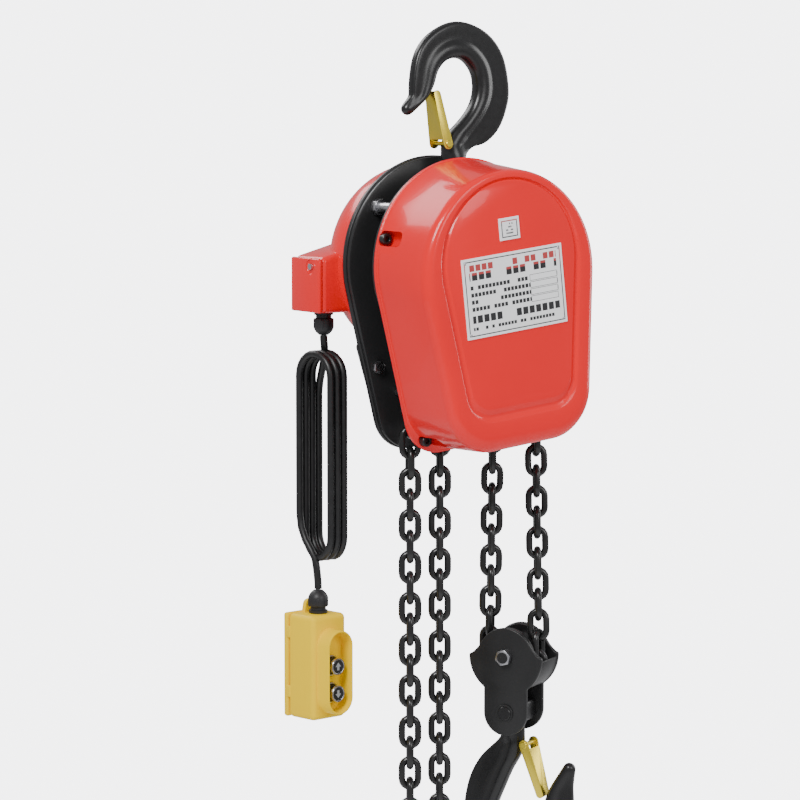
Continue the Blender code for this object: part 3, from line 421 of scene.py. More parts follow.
def rating_print(name, centre, half, rows, frame_lines):
    """A silvered plate with a printed border, rows of small marks and ruled boxes."""
    made = Finish(name, metal=0.05)
    x, z = plate_place(made, centre)
    edge_x = x.math("ABSOLUTE", x)
    edge_z = z.math("ABSOLUTE", z)
    border = inside(edge_x, half[0] - 4.2 * MM, half[0] - 3 * MM) * (edge_z < half[1] - 3 * MM)
    border = border + inside(edge_z, half[1] - 4.2 * MM, half[1] - 3 * MM) * (edge_x < half[0] - 3 * MM)
    ink = printed_rows(made, x, z, rows, half[0] - 9 * MM, 0.22) + border
    for left, right, low, high in frame_lines:
        outer = inside(x, left, right) * inside(z, low, high)
        line = 0.5 * MM
        core = inside(x, left + line, right - line) * inside(z, low + line, high - line)
        ink = ink * (1 - core) + outer * (1 - core)
    ink = made.ramp(ink, 0.0, 1.0)
    red = inside(z, half[1] * 0.58, half[1] * 0.9) * ink
    drift = made.noise(60, 3)
    blank = made.mix(drift, (0.9, 0.91, 0.92), (0.97, 0.97, 0.98))
    dark = made.mix(ink, blank, (0.02, 0.02, 0.022))
    made.set("Base Color", made.mix(red, dark, (0.45, 0.05, 0.05)))
    made.set("Roughness", 0.32 + drift * 0.1)
    return made.material


def rubber(name):
    """Smooth cord jacket with a faint drawn grain."""
    made = Finish(name)
    drift = made.noise(80, 3)
    made.set("Base Color", made.mix(drift, (0.003, 0.003, 0.003), (0.01, 0.01, 0.011)))
    made.set("Roughness", 0.32 + drift * 0.16)
    made.bump(made.noise(600, 2), 0.06, 0.1 * MM)
    return made.material


def make_finishes():
    return {
        "red_enamel": enamel("red_enamel_gloss", RED),
        "black_steel": black_paint("black_paint_satin"),
        "forged_black": forged("forged_black_skin"),
        "chain_black": chain_steel("chain_blackened"),
        "steel": bright_metal("zinc_plate", (0.58, 0.58, 0.6), 0.2),
        "machined": bright_metal("machined_steel", (0.4, 0.4, 0.42), 0.28),
        "latch_gold": bright_metal("yellow_passivate", (0.86, 0.68, 0.08), 0.24),
        "copper": bright_metal("varnished_copper", (0.6, 0.25, 0.12), 0.35),
        "plate_silver": rating_print("rating_plate_print", PLATE_CENTRE, PLATE_HALF, PLATE_ROWS, PLATE_BOXES),
        "yellow_plastic": plastic("yellow_moulding", (1.0, 0.65, 0.0), 0.3, 0.08, 0.03, 0.12),
        "black_plastic": plastic("black_moulding", (0.018, 0.018, 0.02), 0.36, 0.12),
        "cord_rubber": rubber("cord_jacket"),
        "label": rating_print("small_label_print", LABEL_CENTRE, LABEL_HALF, LABEL_ROWS, []),
        "grey_mark": plastic("grey_mark", (0.32, 0.33, 0.34), 0.4, 0.05),
    }


# ---------------------------------------------------------------- shaping helpers


def mm(points):
    """Points given in millimetres, in metres."""
    return [(a * MM, b * MM) for a, b in points]


def arc(x, z, radius, first, last, count):
    steps = [first + (last - first) * k / count for k in range(count + 1)]
    return [(x + radius * math.cos(a), z + radius * math.sin(a)) for a in steps]


def ring(bm, points):
    """Points joined by edges into a closed loop. Returns the edges."""
    verts = [bm.verts.new(p) for p in points]
    return [bm.edges.new((a, b)) for a, b in zip(verts, verts[1:] + verts[:1])]


def loft(rings, caps=(True, True)):
    """Sections of one count skinned point to point in order, with filled ends."""
    bm = bmesh.new()
    loops = [[bm.verts.new(p) for p in points] for points in rings]
    count = len(rings[0])
    for near, far in zip(loops, loops[1:]):
        for k in range(count):
            bm.faces.new((near[k], near[(k + 1) % count], far[(k + 1) % count], far[k]))
    for loop, cap in ((loops[0], caps[0]), (loops[-1], caps[1])):
        if cap:
            bm.faces.new(loop)
    bmesh.ops.recalc_face_normals(bm, faces=bm.faces)
    return bm


def soften(bm, width, segments=2, angle=30):
    """Rounds every edge that turns by more than an angle."""
    sharp = [e for e in bm.edges if len(e.link_faces) == 2 and e.calc_face_angle(0) > math.radians(angle)]
    bmesh.ops.bevel(
        bm,
        geom=sharp,
        offset=width,
        segments=segments,
        profile=0.5,
        affect="EDGES",
        material=-1,
        clamp_overlap=True,
    )
    return bm


def prism(loop, low, high, edge=0.0, segments=2):
    """A flat outline in XZ given thickness along Y, with rounded rims."""
    bm = bmesh.new()
    edges = ring(bm, [(x, low, z) for x, z in loop])
    face = bmesh.ops.edgeloop_fill(bm, edges=edges)["faces"]
    grown = bmesh.ops.extrude_face_region(bm, geom=face)["geom"]
    verts = [v for v in grown if isinstance(v, bmesh.types.BMVert)]
    bmesh.ops.translate(bm, verts=verts, vec=(0, high - low, 0))
    bmesh.ops.recalc_face_normals(bm, faces=bm.faces)
    return soften(bm, edge, segments, 40) if edge else bm


AXES = {
    "X": Matrix.Rotation(math.pi / 2, 4, "Y"),
    "Y": Matrix.Rotation(-math.pi / 2, 4, "X"),
    "Z": Matrix.Identity(4),
}


def turned(profile, centre, axis, steps=64, closed=False):
    """A profile of (radius, place along the axis) spun a full turn about an axis."""
    bm = bmesh.new()
    verts = [bm.verts.new((r, 0, along)) for r, along in profile]
    pairs = list(zip(verts, verts[1:]))
    if closed:
        pairs.append((verts[-1], verts[0]))
    edges = [bm.edges.new(pair) for pair in pairs]
    bmesh.ops.spin(
        bm,
        geom=verts + edges,
        cent=(0, 0, 0),
        axis=(0, 0, 1),
        angle=2 * math.pi,
        steps=steps,
        use_merge=True,
    )
    bmesh.ops.remove_doubles(bm, verts=bm.verts, dist=0.005 * MM)
    bmesh.ops.dissolve_degenerate(bm, edges=bm.edges, dist=0.002 * MM)
    bmesh.ops.recalc_face_normals(bm, faces=bm.faces)
    bm.transform(Matrix.Translation(centre) @ AXES[axis])
    return bm


def hexagon(centre, axis, across_corners, low, high, chamfer, turn=0.0):
    """A hexagonal nut or head, its outer rim chamfered."""
    bm = bmesh.new()
    middle = Vector((0, 0, (low + high) / 2))
    bmesh.ops.create_cone(
        bm,
        cap_ends=True,
        segments=6,
        radius1=across_corners,
        radius2=across_corners,
        depth=high - low,
        matrix=Matrix.Translation(middle) @ Matrix.Rotation(turn, 4, "Z"),
    )
    bm.transform(Matrix.Translation(centre) @ AXES[axis])
    return soften(bm, chamfer, 2)


def block(low, high, rounding, segments=4):
    bm = bmesh.new()
    size = [b - a for a, b in zip(low, high)]
    middle = [(a + b) / 2 for a, b in zip(low, high)]
    bmesh.ops.create_cube(bm, size=1, matrix=Matrix.Translation(middle) @ Matrix.Diagonal((*size, 1)))
    return soften(bm, rounding, segments)


def loose(name, bm):
    """A helper object for a Boolean."""
    mesh = bpy.data.meshes.new(name)
    bm.to_mesh(mesh)
    bm.free()
    made = bpy.data.objects.new(name, mesh)
    bpy.context.scene.collection.objects.link(made)
    return made


def carve(bm, *cutters):
    """One bmesh with others taken from it."""
    base = loose("base", bm)
    helpers = [loose("helper", cutter) for cutter in cutters]
    for helper in helpers:
        step = base.modifiers.new("Carve", "BOOLEAN")
        step.operation = "DIFFERENCE"
        step.object = helper
    bpy.context.view_layer.update()
    evaluated = base.evaluated_get(bpy.context.evaluated_depsgraph_get())
    mesh = bpy.data.meshes.new_from_object(evaluated)
    out = bmesh.new()
    out.from_mesh(mesh)
    for made in [base] + helpers:
        bpy.data.objects.remove(made)
    bmesh.ops.remove_doubles(out, verts=out.verts, dist=0.005 * MM)
    return out


def piece(name, bm, slot, body, stands_for=(), at=WORLD, levels=0, angle=32, finish=None):
    """Turns a bmesh into a finished piece that rides on a body."""
    bm.transform(at)
    mesh = bpy.data.meshes.new(name)
    bm.to_mesh(mesh)
    bm.free()
    mesh.materials.append(FINISHES[finish or slot])
    mesh.shade_smooth()
    if not levels:
        mesh.set_sharp_from_angle(angle=math.radians(angle))
    made = bpy.data.objects.new(name, mesh)
    bpy.context.scene.collection.objects.link(made)
    if levels:
        smooth = made.modifiers.new("Smooth", "SUBSURF")
        smooth.levels = levels
        smooth.render_levels = levels
    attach(made, body)
    if stands_for:
        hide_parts(*stands_for)
    return made


# ---------------------------------------------------------------- hooks


def blended(stations, share):
    """Stations of equal length with more put between them along smooth curves."""
    out = []
    last = len(stations) - 1
    for k in range(last):
        around = [stations[max(0, min(last, k + j))] for j in (-1, 0, 1, 2)]
        for step in range(share):
            t = step / share
            row = []
            for a, b, c, d in zip(*around):
                curve = 2 * b + (c - a) * t + (2 * a - 5 * b + 4 * c - d) * t * t
                row.append((curve + (3 * b - a - 3 * c + d) * t**3) / 2)
            out.append(row)
    return out + [list(stations[-1])]


def hook_section(row):
    """A hook's section: a thick rounded bead on the inside and a thinner web outside it."""
    x1, z1, x2, z2, bead, web = row
    inner, outer = Vector((x1, z1)) * MM, Vector((x2, z2)) * MM
    bead, web = bead * MM, web * MM
    across = outer - inner
    width = across.length
    across.normalize()
    depth = min(2 * bead, width * 0.55)
    rows = [
        (0.0, 0.34 * bead),
        (depth * 0.1, 0.72 * bead),
        (depth * 0.34, 1.0 * bead),
        (depth * 0.66, 0.98 * bead),
        (depth * 0.86, 0.76 * bead),
        (depth * 0.98, web * 0.86),
        (depth * 1.12, web * 0.8),
        (width * 0.9, web * 0.86),
        (width - 1.4 * MM, web * 0.74),
        (width, web * 0.4),
    ]
    near = [(inner + across * s, -h) for s, h in rows]
    far = [(inner + across * s, h) for s, h in reversed(rows)]
    return [(p.x, h, p.y) for p, h in near + far]


def round_section(z, radius, sign, count=20):
    steps = [math.pi * (1 + 1 / count) + 2 * math.pi * k / count for k in range(count)]
    return [(sign * radius * math.cos(a), radius * math.sin(a), z) for a in steps]


def hook_form(stations, tip, shank, sign):
    """A forged hook from its shank to its rounded tip."""
    rings = [round_section(z * MM, r * MM, sign) for r, z in shank]
    rows = [(*inner, *outer, bead, web) for inner, outer, bead, web in stations]
    rings += [hook_section(row) for row in blended(rows, 3)]
    centre, radius, heading = Vector(tip[0]) * MM, tip[1] * MM, math.radians(tip[2])
    along = Vector((math.cos(heading), math.sin(heading)))
    side = Vector((-along.y, along.x))
    for forward, share in ((-0.1, 1.0), (0.45, 0.9), (0.8, 0.62), (0.97, 0.25)):
        middle = centre + along * radius * forward
        steps = [math.pi * (1 + 1 / 20) + 2 * math.pi * k / 20 for k in range(20)]
        rings.append(
            [
                (
                    middle.x - side.x * radius * share * math.cos(a),
                    radius * share * math.sin(a),
                    middle.y - side.y * radius * share * math.cos(a),
                )
                for a in steps
            ]
        )
    return loft(rings)


TOP_HOOK = [
    ((-14.5, -96), (24, -101), 12.5, 10.5),
    ((-6, -84), (43, -97), 11.5, 8.5),
    ((9, -71), (62, -81), 11, 8),
    ((22, -56), (73, -57), 11, 8),
    ((28.5, -38), (76, -34), 11, 8),
    ((26, -18), (67, 4), 11, 8),
    ((14, -4), (42, 31), 11, 8),
    ((0, 0), (3, 42.5), 11, 8),
    ((-14, -4), (-33, 29), 10.5, 8),
    ((-24, -15), (-53, 6), 10, 8),
    ((-29, -30), (-59.5, -24), 9.5, 8),
    ((-38, -45), (-60, -43), 9, 7.5),
]
TOP_TIP = ((-63.5, -56.5), 7.8, 222)
TOP_LATCH = ((-17, -97), (-28.5, -40.5))
BOTTOM_HOOK = [
    ((13, -103), (-24, -108), 12, 10),
    ((9, -120), (-40, -123), 11.5, 8.5),
    ((-1, -137), (-52, -142), 11, 8),
    ((-10, -157), (-59, -162), 11, 8),
    ((-19, -178), (-63, -186), 11, 8),
    ((-27, -202), (-65, -212), 11, 8),
    ((-23, -223), (-52, -248), 11, 8),
    ((-12, -233.5), (-27, -270), 11, 8),
    ((2, -236), (4, -278), 11, 8),
    ((16, -232), (36, -264), 10.5, 8),
    ((26, -220), (60, -236), 10.5, 8),
    ((32, -202), (72, -205), 10, 8),
    ((38, -178), (76, -178), 9.5, 8),
    ((47, -154), (75, -152), 9, 7.5),
]
BOTTOM_TIP = ((70.5, -131.5), 8, 72)
BOTTOM_LATCH = ((19, -105), (37, -163))


def latch_form(pivot, end):
    """A pressed latch: two cheeks astride the hook's neck, a bridge and a rounded nose."""
    pivot, end = Vector(pivot) * MM, Vector(end) * MM
    heading = math.atan2(end.y - pivot.y, end.x - pivot.x)
    length = (end - pivot).length
    eye = arc(0, 0, 6 * MM, math.pi / 2, 1.5 * math.pi, 10)
    nose = arc(length, 0, 4.5 * MM, -math.pi / 2, math.pi / 2, 10)
    form = prism(eye + nose, -15 * MM, 15 * MM)
    slot = block((-12 * MM, -12.9 * MM, -20 * MM), (length * 0.1, 12.9 * MM, 20 * MM), 2 * MM, 2)
    channel = block((length * 0.04, -12.9 * MM, -20 * MM), (length * 1.2, 12.9 * MM, 2 * MM), 1 * MM, 2)
    form = carve(form, slot, channel)
    form = soften(form, 0.7 * MM, 2, 50)
    for v in form.verts:
        v.co.y *= 1 - 0.42 * min(max(v.co.x / length - 0.12, 0.0), 1.0)
    form.transform(Matrix.Translation((pivot.x, 0, pivot.y)) @ Matrix.Rotation(-heading, 4, "Y"))
    return form


def latch_pin(pivot, reach):
    head = [(0, -reach), (3.4, -reach), (4, -reach + 0.6), (4, -reach + 2.2), (2.6, -reach + 2.2)]
    tail = [(r, -y) for r, y in reversed(head)]
    profile = mm(head + tail)
    return turned(profile, (pivot[0] * MM, 0, pivot[1] * MM), "Y", 24)


def build_hooks():
    shank = [(12, -174), (12, -173), (12, -123), (12.3, -121.6), (14.5, -119.6), (14.7, -117), (14.7, -108)]
    form = hook_form(TOP_HOOK, TOP_TIP, shank, 1)
    piece("top_hook_forging", form, "forged_black", "top_hook", ["top_hook"], levels=1)
    piece("top_latch_pressing", latch_form(*TOP_LATCH), "latch_gold", "top_latch", ["top_latch"])
    piece("top_latch_pin", latch_pin(TOP_LATCH[0], 16.6), "latch_gold", "top_hook")
    shank = [(11.1, -47.5), (11.1, -48.3), (11.1, -81), (11.6, -82), (13.1, -83.4), (13.3, -86), (13.3, -97)]
    form = hook_form(BOTTOM_HOOK, BOTTOM_TIP, shank, -1)
    piece("bottom_hook_forging", form, "forged_black", "bottom_hook", ["bottom_hook"], BLOCK, levels=1)
    form = latch_form(*BOTTOM_LATCH)
    piece("bottom_latch_pressing", form, "latch_gold", "bottom_latch", ["bottom_latch"], BLOCK)
    piece("bottom_latch_pin", latch_pin(BOTTOM_LATCH[0], 16.6), "latch_gold", "bottom_hook", (), BLOCK)


# ---------------------------------------------------------------- housing


def housing_outline(inset=0.0, arc_steps=72, corner_steps=14, drop=0.0, rounder=0.0, rise=0.0):
    """The housing's outline, anticlockwise from its right side, moved in by inset."""
    radius = HOUSING_R - inset
    corner = HOUSING_CORNER + rounder - inset
    low = -HOUSING_BOTTOM + inset + rise
    tangent = Vector((radius * math.cos(HOUSING_TAPER), -radius * math.sin(HOUSING_TAPER)))
    down = Vector((-math.sin(HOUSING_TAPER), -math.cos(HOUSING_TAPER)))
    out = Vector((math.cos(HOUSING_TAPER), -math.sin(HOUSING_TAPER)))
    run = (tangent.y - corner * out.y - (low + corner)) / -down.y
    centre = tangent + run * down - corner * out
    right = arc(centre.x, centre.y, corner, -math.pi / 2, -HOUSING_TAPER, corner_steps)
    top = arc(0, 0, radius, -HOUSING_TAPER, math.pi + HOUSING_TAPER, arc_steps)
    left = [(-x, z) for x, z in reversed(right)]
    return [(x, z - drop) for x, z in right + top + left]


def plate_outline(inset):
    """The housing's outline with a rounded ear for the end of the load chain."""
    dead = HOIST.inverted() @ Vector((DEAD_END.x, 0, DEAD_END.z - 4.4 * MM))
    lobe = arc(dead.x, dead.z, 13 * MM, math.radians(-75), math.radians(62), 14)
    kept = []
    placed = False
    for x, z in housing_outline(inset):
        if not (x > 0 and abs(z - dead.z) < 26 * MM):
            kept.append((x, z))
        elif not placed:
            kept.extend(lobe)
            placed = True
    if not placed:
        side = [k for k, (x, z) in enumerate(kept) if x > 0 and z > dead.z][0]
        kept[side:side] = lobe
    return kept


def rounded_rows(inset, depth, radius, drop, count=6):
    """Rows that turn a wall into a face over a quarter circle."""
    rows = []
    for k in range(count + 1):
        a = math.pi / 2 * k / count
        rows.append((-depth + radius * (1 - math.sin(a)), inset + radius * (1 - math.cos(a)), drop))
    return rows


def cover_rows():
    """The cover's outside from its flange to the panel pressed into its face: (y, inset, drop)."""
    rows = [
        (0.0, 0.2 * MM, 0.0),
        (-0.3 * MM, 0.0, 0.0),
        (-2.7 * MM, 0.0, 0.0),
        (-3.0 * MM, 0.4 * MM, 0.0),
        (-3.4 * MM, 1.8 * MM, 0.6 * MM),
        (-5.0 * MM, 2.6 * MM, 1.0 * MM),
        (-45 * MM, 2.8 * MM, 5.0 * MM),
    ]
    rows += rounded_rows(3 * MM, COVER_DEPTH, 12 * MM, 9 * MM)
    face = -COVER_DEPTH
    rows += [
        (face, 24.0 * MM, 9 * MM),
        (face + 0.6 * MM, 25.4 * MM, 9 * MM),
        (face + 2.8 * MM, 27.4 * MM, 9 * MM),
        (face + 3.3 * MM, 29.0 * MM, 9 * MM),
        (face + 2.8 * MM, 30.6 * MM, 9 * MM),
        (face + 0.9 * MM, 33.0 * MM, 9 * MM),
        (face + 0.5 * MM, 35.0 * MM, 9 * MM),
    ]
    return rows


def cover_solid(rows, grow, steps):
    rings = []
    for y, inset, drop in rows:
        rounder = COVER_ROUNDER if grow else COVER_ROUNDER * min(max(-y / MM - 3, 0.0), 1.0)
        loop = housing_outline(inset + grow, *steps, drop - (inset + grow) * 0.6, rounder, drop * 1.15)
        rings.append([(x, y, z) for x, z in loop])
    return loft(rings)


def pocket(x, z, radius, low, high):
    """A round-cornered column over a flange screw."""
    rim = radius - 3 * MM
    out = [(0, low), (radius - 6 * MM, low), (radius - 1.8 * MM, low + 1.8 * MM), (radius, low + 6 * MM)]
    out += [(radius, high - 3 * MM), (radius - 0.9 * MM, high - 0.9 * MM), (rim, high), (0, high)]
    return turned(out, (x, 0, z), "Y", 32)


def build_cover():
    outside = cover_solid(cover_rows(), 0.0, (72, 14))
    hollow_rows = [
        (1 * MM, 2.5 * MM, 0.5 * MM),
        (-77 * MM, 3 * MM, 7.5 * MM),
        (-88 * MM, 6 * MM, 9 * MM),
        (-91.4 * MM, 13 * MM, 9 * MM),
    ]
    inside_form = cover_solid(hollow_rows, COVER_WALL, (24, 5))
    columns = [pocket(x, z, 12.5 * MM, -45 * MM, 8 * MM) for x, z in COVER_SCREWS]
    inside_form = carve(inside_form, *columns)
    pockets = [pocket(x, z, 9.5 * MM, -42 * MM, -3.2 * MM) for x, z in COVER_SCREWS]
    form = carve(carve(outside, *pockets), inside_form)
    piece("cover_pressing", form, "red_enamel", "hoist_body", ["front_cover"], HOIST, angle=24)
    for k, (x, z) in enumerate(COVER_SCREWS):
        name = f"cover_screw_{k + 1}"
        form = screw_head((x, 0, z), 6.4 * MM, -10.9 * MM, -3.5 * MM)
        piece(name + "_head", form, "black_steel", "hoist_body", [name], HOIST)


def screw_head(centre, radius, low, high):
    """A socket cap screw's head, its mouth at low."""
    r = radius
    profile = [(0, high), (r, high), (r, low + 1 * MM), (r - 0.8 * MM, low)]
    profile += [(r * 0.55, low), (r * 0.5, low + 0.4 * MM), (r * 0.5, low + 3.4 * MM), (0, low + 3.6 * MM)]
    return turned(profile, centre, "Y", 32)


def build_plates():
    front = [(x * 0.88, z * 0.95) if z < -110 * MM else (x, z) for x, z in plate_outline(2 * MM)]
    form = prism(front, 0.4 * MM, 6.4 * MM, 0.8 * MM)
    piece("front_plate", form, "black_steel", "hoist_body", ["front_side_plate"], HOIST)
    form = prism(plate_outline(0.5 * MM), REAR_PLATE_Y, REAR_PLATE_Y + 6 * MM, 0.9 * MM)
    piece("rear_plate", form, "black_steel", "hoist_body", ["rear_side_plate"], HOIST)
    form = prism(housing_outline(-1 * MM), FLANGE_Y, MOTOR_Y - 0.3 * MM, 1.6 * MM, 3)
    piece("motor_flange_ring", form, "black_steel", "hoist_body", ["motor_flange"], HOIST)
    stays = (
        ("stay_bolt_left", -76 * MM, 74 * MM),
        ("stay_bolt_right", 80 * MM, 66 * MM),
        ("stay_bolt_bottom", 4 * MM, -178 * MM),
    )
    for name, x, z in stays:
        shaft = [(0, 6.7), (6, 6.7), (6, 38.7), (8.4, 38.7), (8.4, 49.7), (0, 49.7)]
        form = turned(mm(shaft), (x, 0, z), "Y", 32)
        piece(name + "_shaft", form, "steel", "hoist_body", [name], HOIST)
        form = hexagon((x, 0, z), "Y", 10 * MM, 40 * MM, 49.6 * MM, 0.7 * MM, 0.3)
        piece(name + "_nut", form, "steel", "hoist_body", (), HOIST)
    form = hexagon((-95.5 * MM, 0, -108 * MM), "Y", 7.5 * MM, 44 * MM, 49.7 * MM, 0.6 * MM, 0.2)
    piece("flange_nut", form, "steel", "hoist_body", (), HOIST)


def build_labels():
    front = -COVER_DEPTH + 0.5 * MM
    groups = (
        ("rating_plate_sheet", PLATE_CENTRE, PLATE_HALF, "plate_silver", ["rating_plate"]),
        ("small_label", LABEL_CENTRE, LABEL_HALF, "label", []),
    )
    for name, centre, half, finish, nodes in groups:
        low = (centre[0] - half[0], front - 1.2 * MM, centre[1] - half[1])
        high = (centre[0] + half[0], front + 0.2 * MM, centre[1] + half[1])
        form = block(low, high, 0.3 * MM, 1)
        piece(name, form, "plate_silver", "hoist_body", nodes, HOIST, finish=finish)
    for sx in (-1, 1):
        for sz in (-1, 1):
            x = PLATE_CENTRE[0] + sx * (PLATE_HALF[0] - 5 * MM)
            z = PLATE_CENTRE[1] + sz * (PLATE_HALF[1] - 5 * MM)
            dome = [(0, -1.4), (1.2, -1.3), (1.9, -0.9), (2.2, 0), (0, 0)]
            form = turned(mm(dome), (x, front - 0.1 * MM, z), "Y", 16)
            piece(f"plate_rivet_{sx}_{sz}", form, "steel", "hoist_body", (), HOIST)


# ---------------------------------------------------------------- motor end


def dome_profile(offset=0.0, count=22):
    """The motor housing's outside: a short cylinder closed by a deep dome."""
    radius, start, depth = 113 * MM + offset, 82 * MM, 84 * MM + offset
    rows = [(radius - 0.8 * MM, MOTOR_Y), (radius, MOTOR_Y + 0.8 * MM), (radius, start - 8 * MM)]
    for k in range(count + 1):
        a = math.pi / 2 * k / count
        rows.append((radius * math.cos(a) ** 0.92 if k < count else 0.0, start + depth * math.sin(a)))
    return rows


def build_motor():
    skin = dome_profile()
    inner = [(max(0.0, r - 3.5 * MM), y - (3.5 * MM if r < 60 * MM else 0)) for r, y in reversed(skin)]
    form = turned(skin + inner, (0, 0, 0), "Y", 96, closed=True)
    piece("motor_dome", form, "red_enamel", "hoist_body", ["motor_housing"], HOIST)
    left = [(-93, -78), (-99, -86), (-84, -164), (-72, -184)]
    right = [(-x, z) for x, z in reversed(left)]
    notch = arc(0, 0, 116, math.radians(318), math.radians(222), 24)
    outline = [(x * MM, z * MM) for x, z in left + right + notch]
    form = prism(outline, MOTOR_Y, 88 * MM, 3.5 * MM, 3)
    piece("control_box_case", form, "black_steel", "hoist_body", ["control_box"], HOIST)


def build_junction():
    low, high = Vector((-140.0, 60.0, -290.0)) * MM, Vector((-75.0, 120.0, -227.0)) * MM
    form = block(low, high, 6 * MM, 5)
    for v in form.verts:
        if v.co.z > (low.z + high.z) / 2:
            v.co.z += JUNCTION_SLOPE * (v.co.x - low.x)
    piece("junction_case", form, "red_enamel", "hoist_body", ["junction_box"])
    lid_low = Vector((low.x - 4.3 * MM, low.y + 0.4 * MM, low.z + 0.4 * MM))
    lid_high = Vector((low.x + 1.0 * MM, high.y - 0.4 * MM, high.z - 0.4 * MM))
    lid = block(lid_low, lid_high, 2 * MM, 3)
    recess = turned(
        [(0, -8 * MM), (9 * MM, -8 * MM), (9 * MM, -0.6 * MM), (8.4 * MM, 0), (0, 0)],
        (low.x - 2.8 * MM, 78 * MM, -237 * MM),
        "X",
        32,
    )
    lid = carve(lid, recess)
    piece("junction_lid", lid, "red_enamel", "hoist_body", ["junction_box_lid"])
    form = hexagon((0, 78 * MM, -237 * MM), "X", 4 * MM, low.x - 6.2 * MM, low.x - 2.9 * MM, 0.5 * MM)
    piece("lid_screw_head", form, "steel", "hoist_body", ["lid_screw"])


def gland_form(seat, sign, at):
    """A cord gland's body: its neck and ribbed dome. Its hexagonal nut is made apart."""
    body = [(0, 0), (10.6, 0), (11, 0.5), (11, 3.2), (9, 4), (9, 7.2), (11.3, 7.8), (11.8, 9), (11.8, 17.6)]
    body += [(11.0, 20), (9.6, 22.6), (7.6, 24.8), (6.0, 26.2), (5.2, 26.7), (0, 26.7)]
    form = turned([(r * MM, sign * y * MM) for r, y in body], seat, "Z", 48)
    form.transform(at)
    return form


def build_glands():
    seat = Vector((-118.7, 90.0, -290.3)) * MM
    form = gland_form(seat, -1, WORLD)
    piece("junction_gland_body", form, "black_plastic", "hoist_body", ["junction_gland"])
    nut = hexagon(seat, "Z", 12.9 * MM, -18 * MM, -9 * MM, 0.8 * MM, 0.35)
    piece("junction_gland_nut", nut, "black_plastic", "hoist_body")
    seat = Vector((0, -6 * MM, 61.3 * MM))
    form = gland_form(seat, 1, PENDANT)
    piece("pendant_gland_body", form, "black_plastic", "hoist_body", ["pendant_gland"])
    nut = hexagon(seat, "Z", 12.9 * MM, 9 * MM, 18 * MM, 0.8 * MM, 0.2)
    piece("pendant_gland_nut", nut, "black_plastic", "hoist_body", (), PENDANT)


# ---------------------------------------------------------------- cord


def hank_points():
    """The coil between the cord's two tails: long oval turns laid side by side."""
    points = []
    step = 2 * CORD_R + 0.02 * MM
    top, bottom = HANK_TOP - HANK_BEND, HANK_BOTTOM + HANK_BEND
    rear = CORD_Y + HANK_BEND
    for turn in range(HANK_TURNS):
        x = HANK_X - turn * step
        first = -395 * MM if turn == 0 else top
        last = -520 * MM if turn == HANK_TURNS - 1 else bottom
        points += [(x, rear, first + (last - first) * k / 6) for k in range(7)]
        if turn == HANK_TURNS - 1:
            break
        for k in range(1, 12):
            a = math.pi * k / 12
            points.append((x, CORD_Y + HANK_BEND * math.cos(a), bottom - HANK_BEND * math.sin(a)))
        points += [(x, CORD_Y - HANK_BEND, bottom + (top - bottom) * k / 6) for k in range(7)]
        for k in range(1, 12):
            a = math.pi * k / 12
            across = x - step * (1 - math.cos(a)) / 2
            points.append((across, CORD_Y - HANK_BEND * math.cos(a), top + HANK_BEND * math.sin(a)))
    return points


def build_cord():
    tails = [[Vector(p) * MM for p in part] for part in (CORD_UPPER, CORD_LOWER)]
    points = tails[0] + [Vector(p) for p in hank_points()] + tails[1]
    curve = bpy.data.curves.new("pendant_cord", "CURVE")
    curve.dimensions = "3D"
    curve.bevel_depth = CORD_R
    curve.bevel_resolution = 5
    curve.use_fill_caps = True
    spline = curve.splines.new("POLY")
    spline.points.add(len(points) - 1)
    for point, place in zip(spline.points, points):
        point.co = (*place, 1)
    spline.use_smooth = True
    curve.materials.append(FINISHES["cord_rubber"])
    cord = bpy.data.objects.new("pendant_cord", curve)
    bpy.context.scene.collection.objects.link(cord)
    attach(cord, "hoist_body")
    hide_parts("cord_upper", "cord_hank", "cord_lower")
    length = sum((b - a).length for a, b in zip(points, points[1:]))


# ---------------------------------------------------------------- pendant


def stadium(radius, half_run, middle, count=20):
    low = arc(0, middle - half_run, radius, math.pi, 2 * math.pi, count)
    return low + arc(0, middle + half_run, radius, 0, math.pi, count)


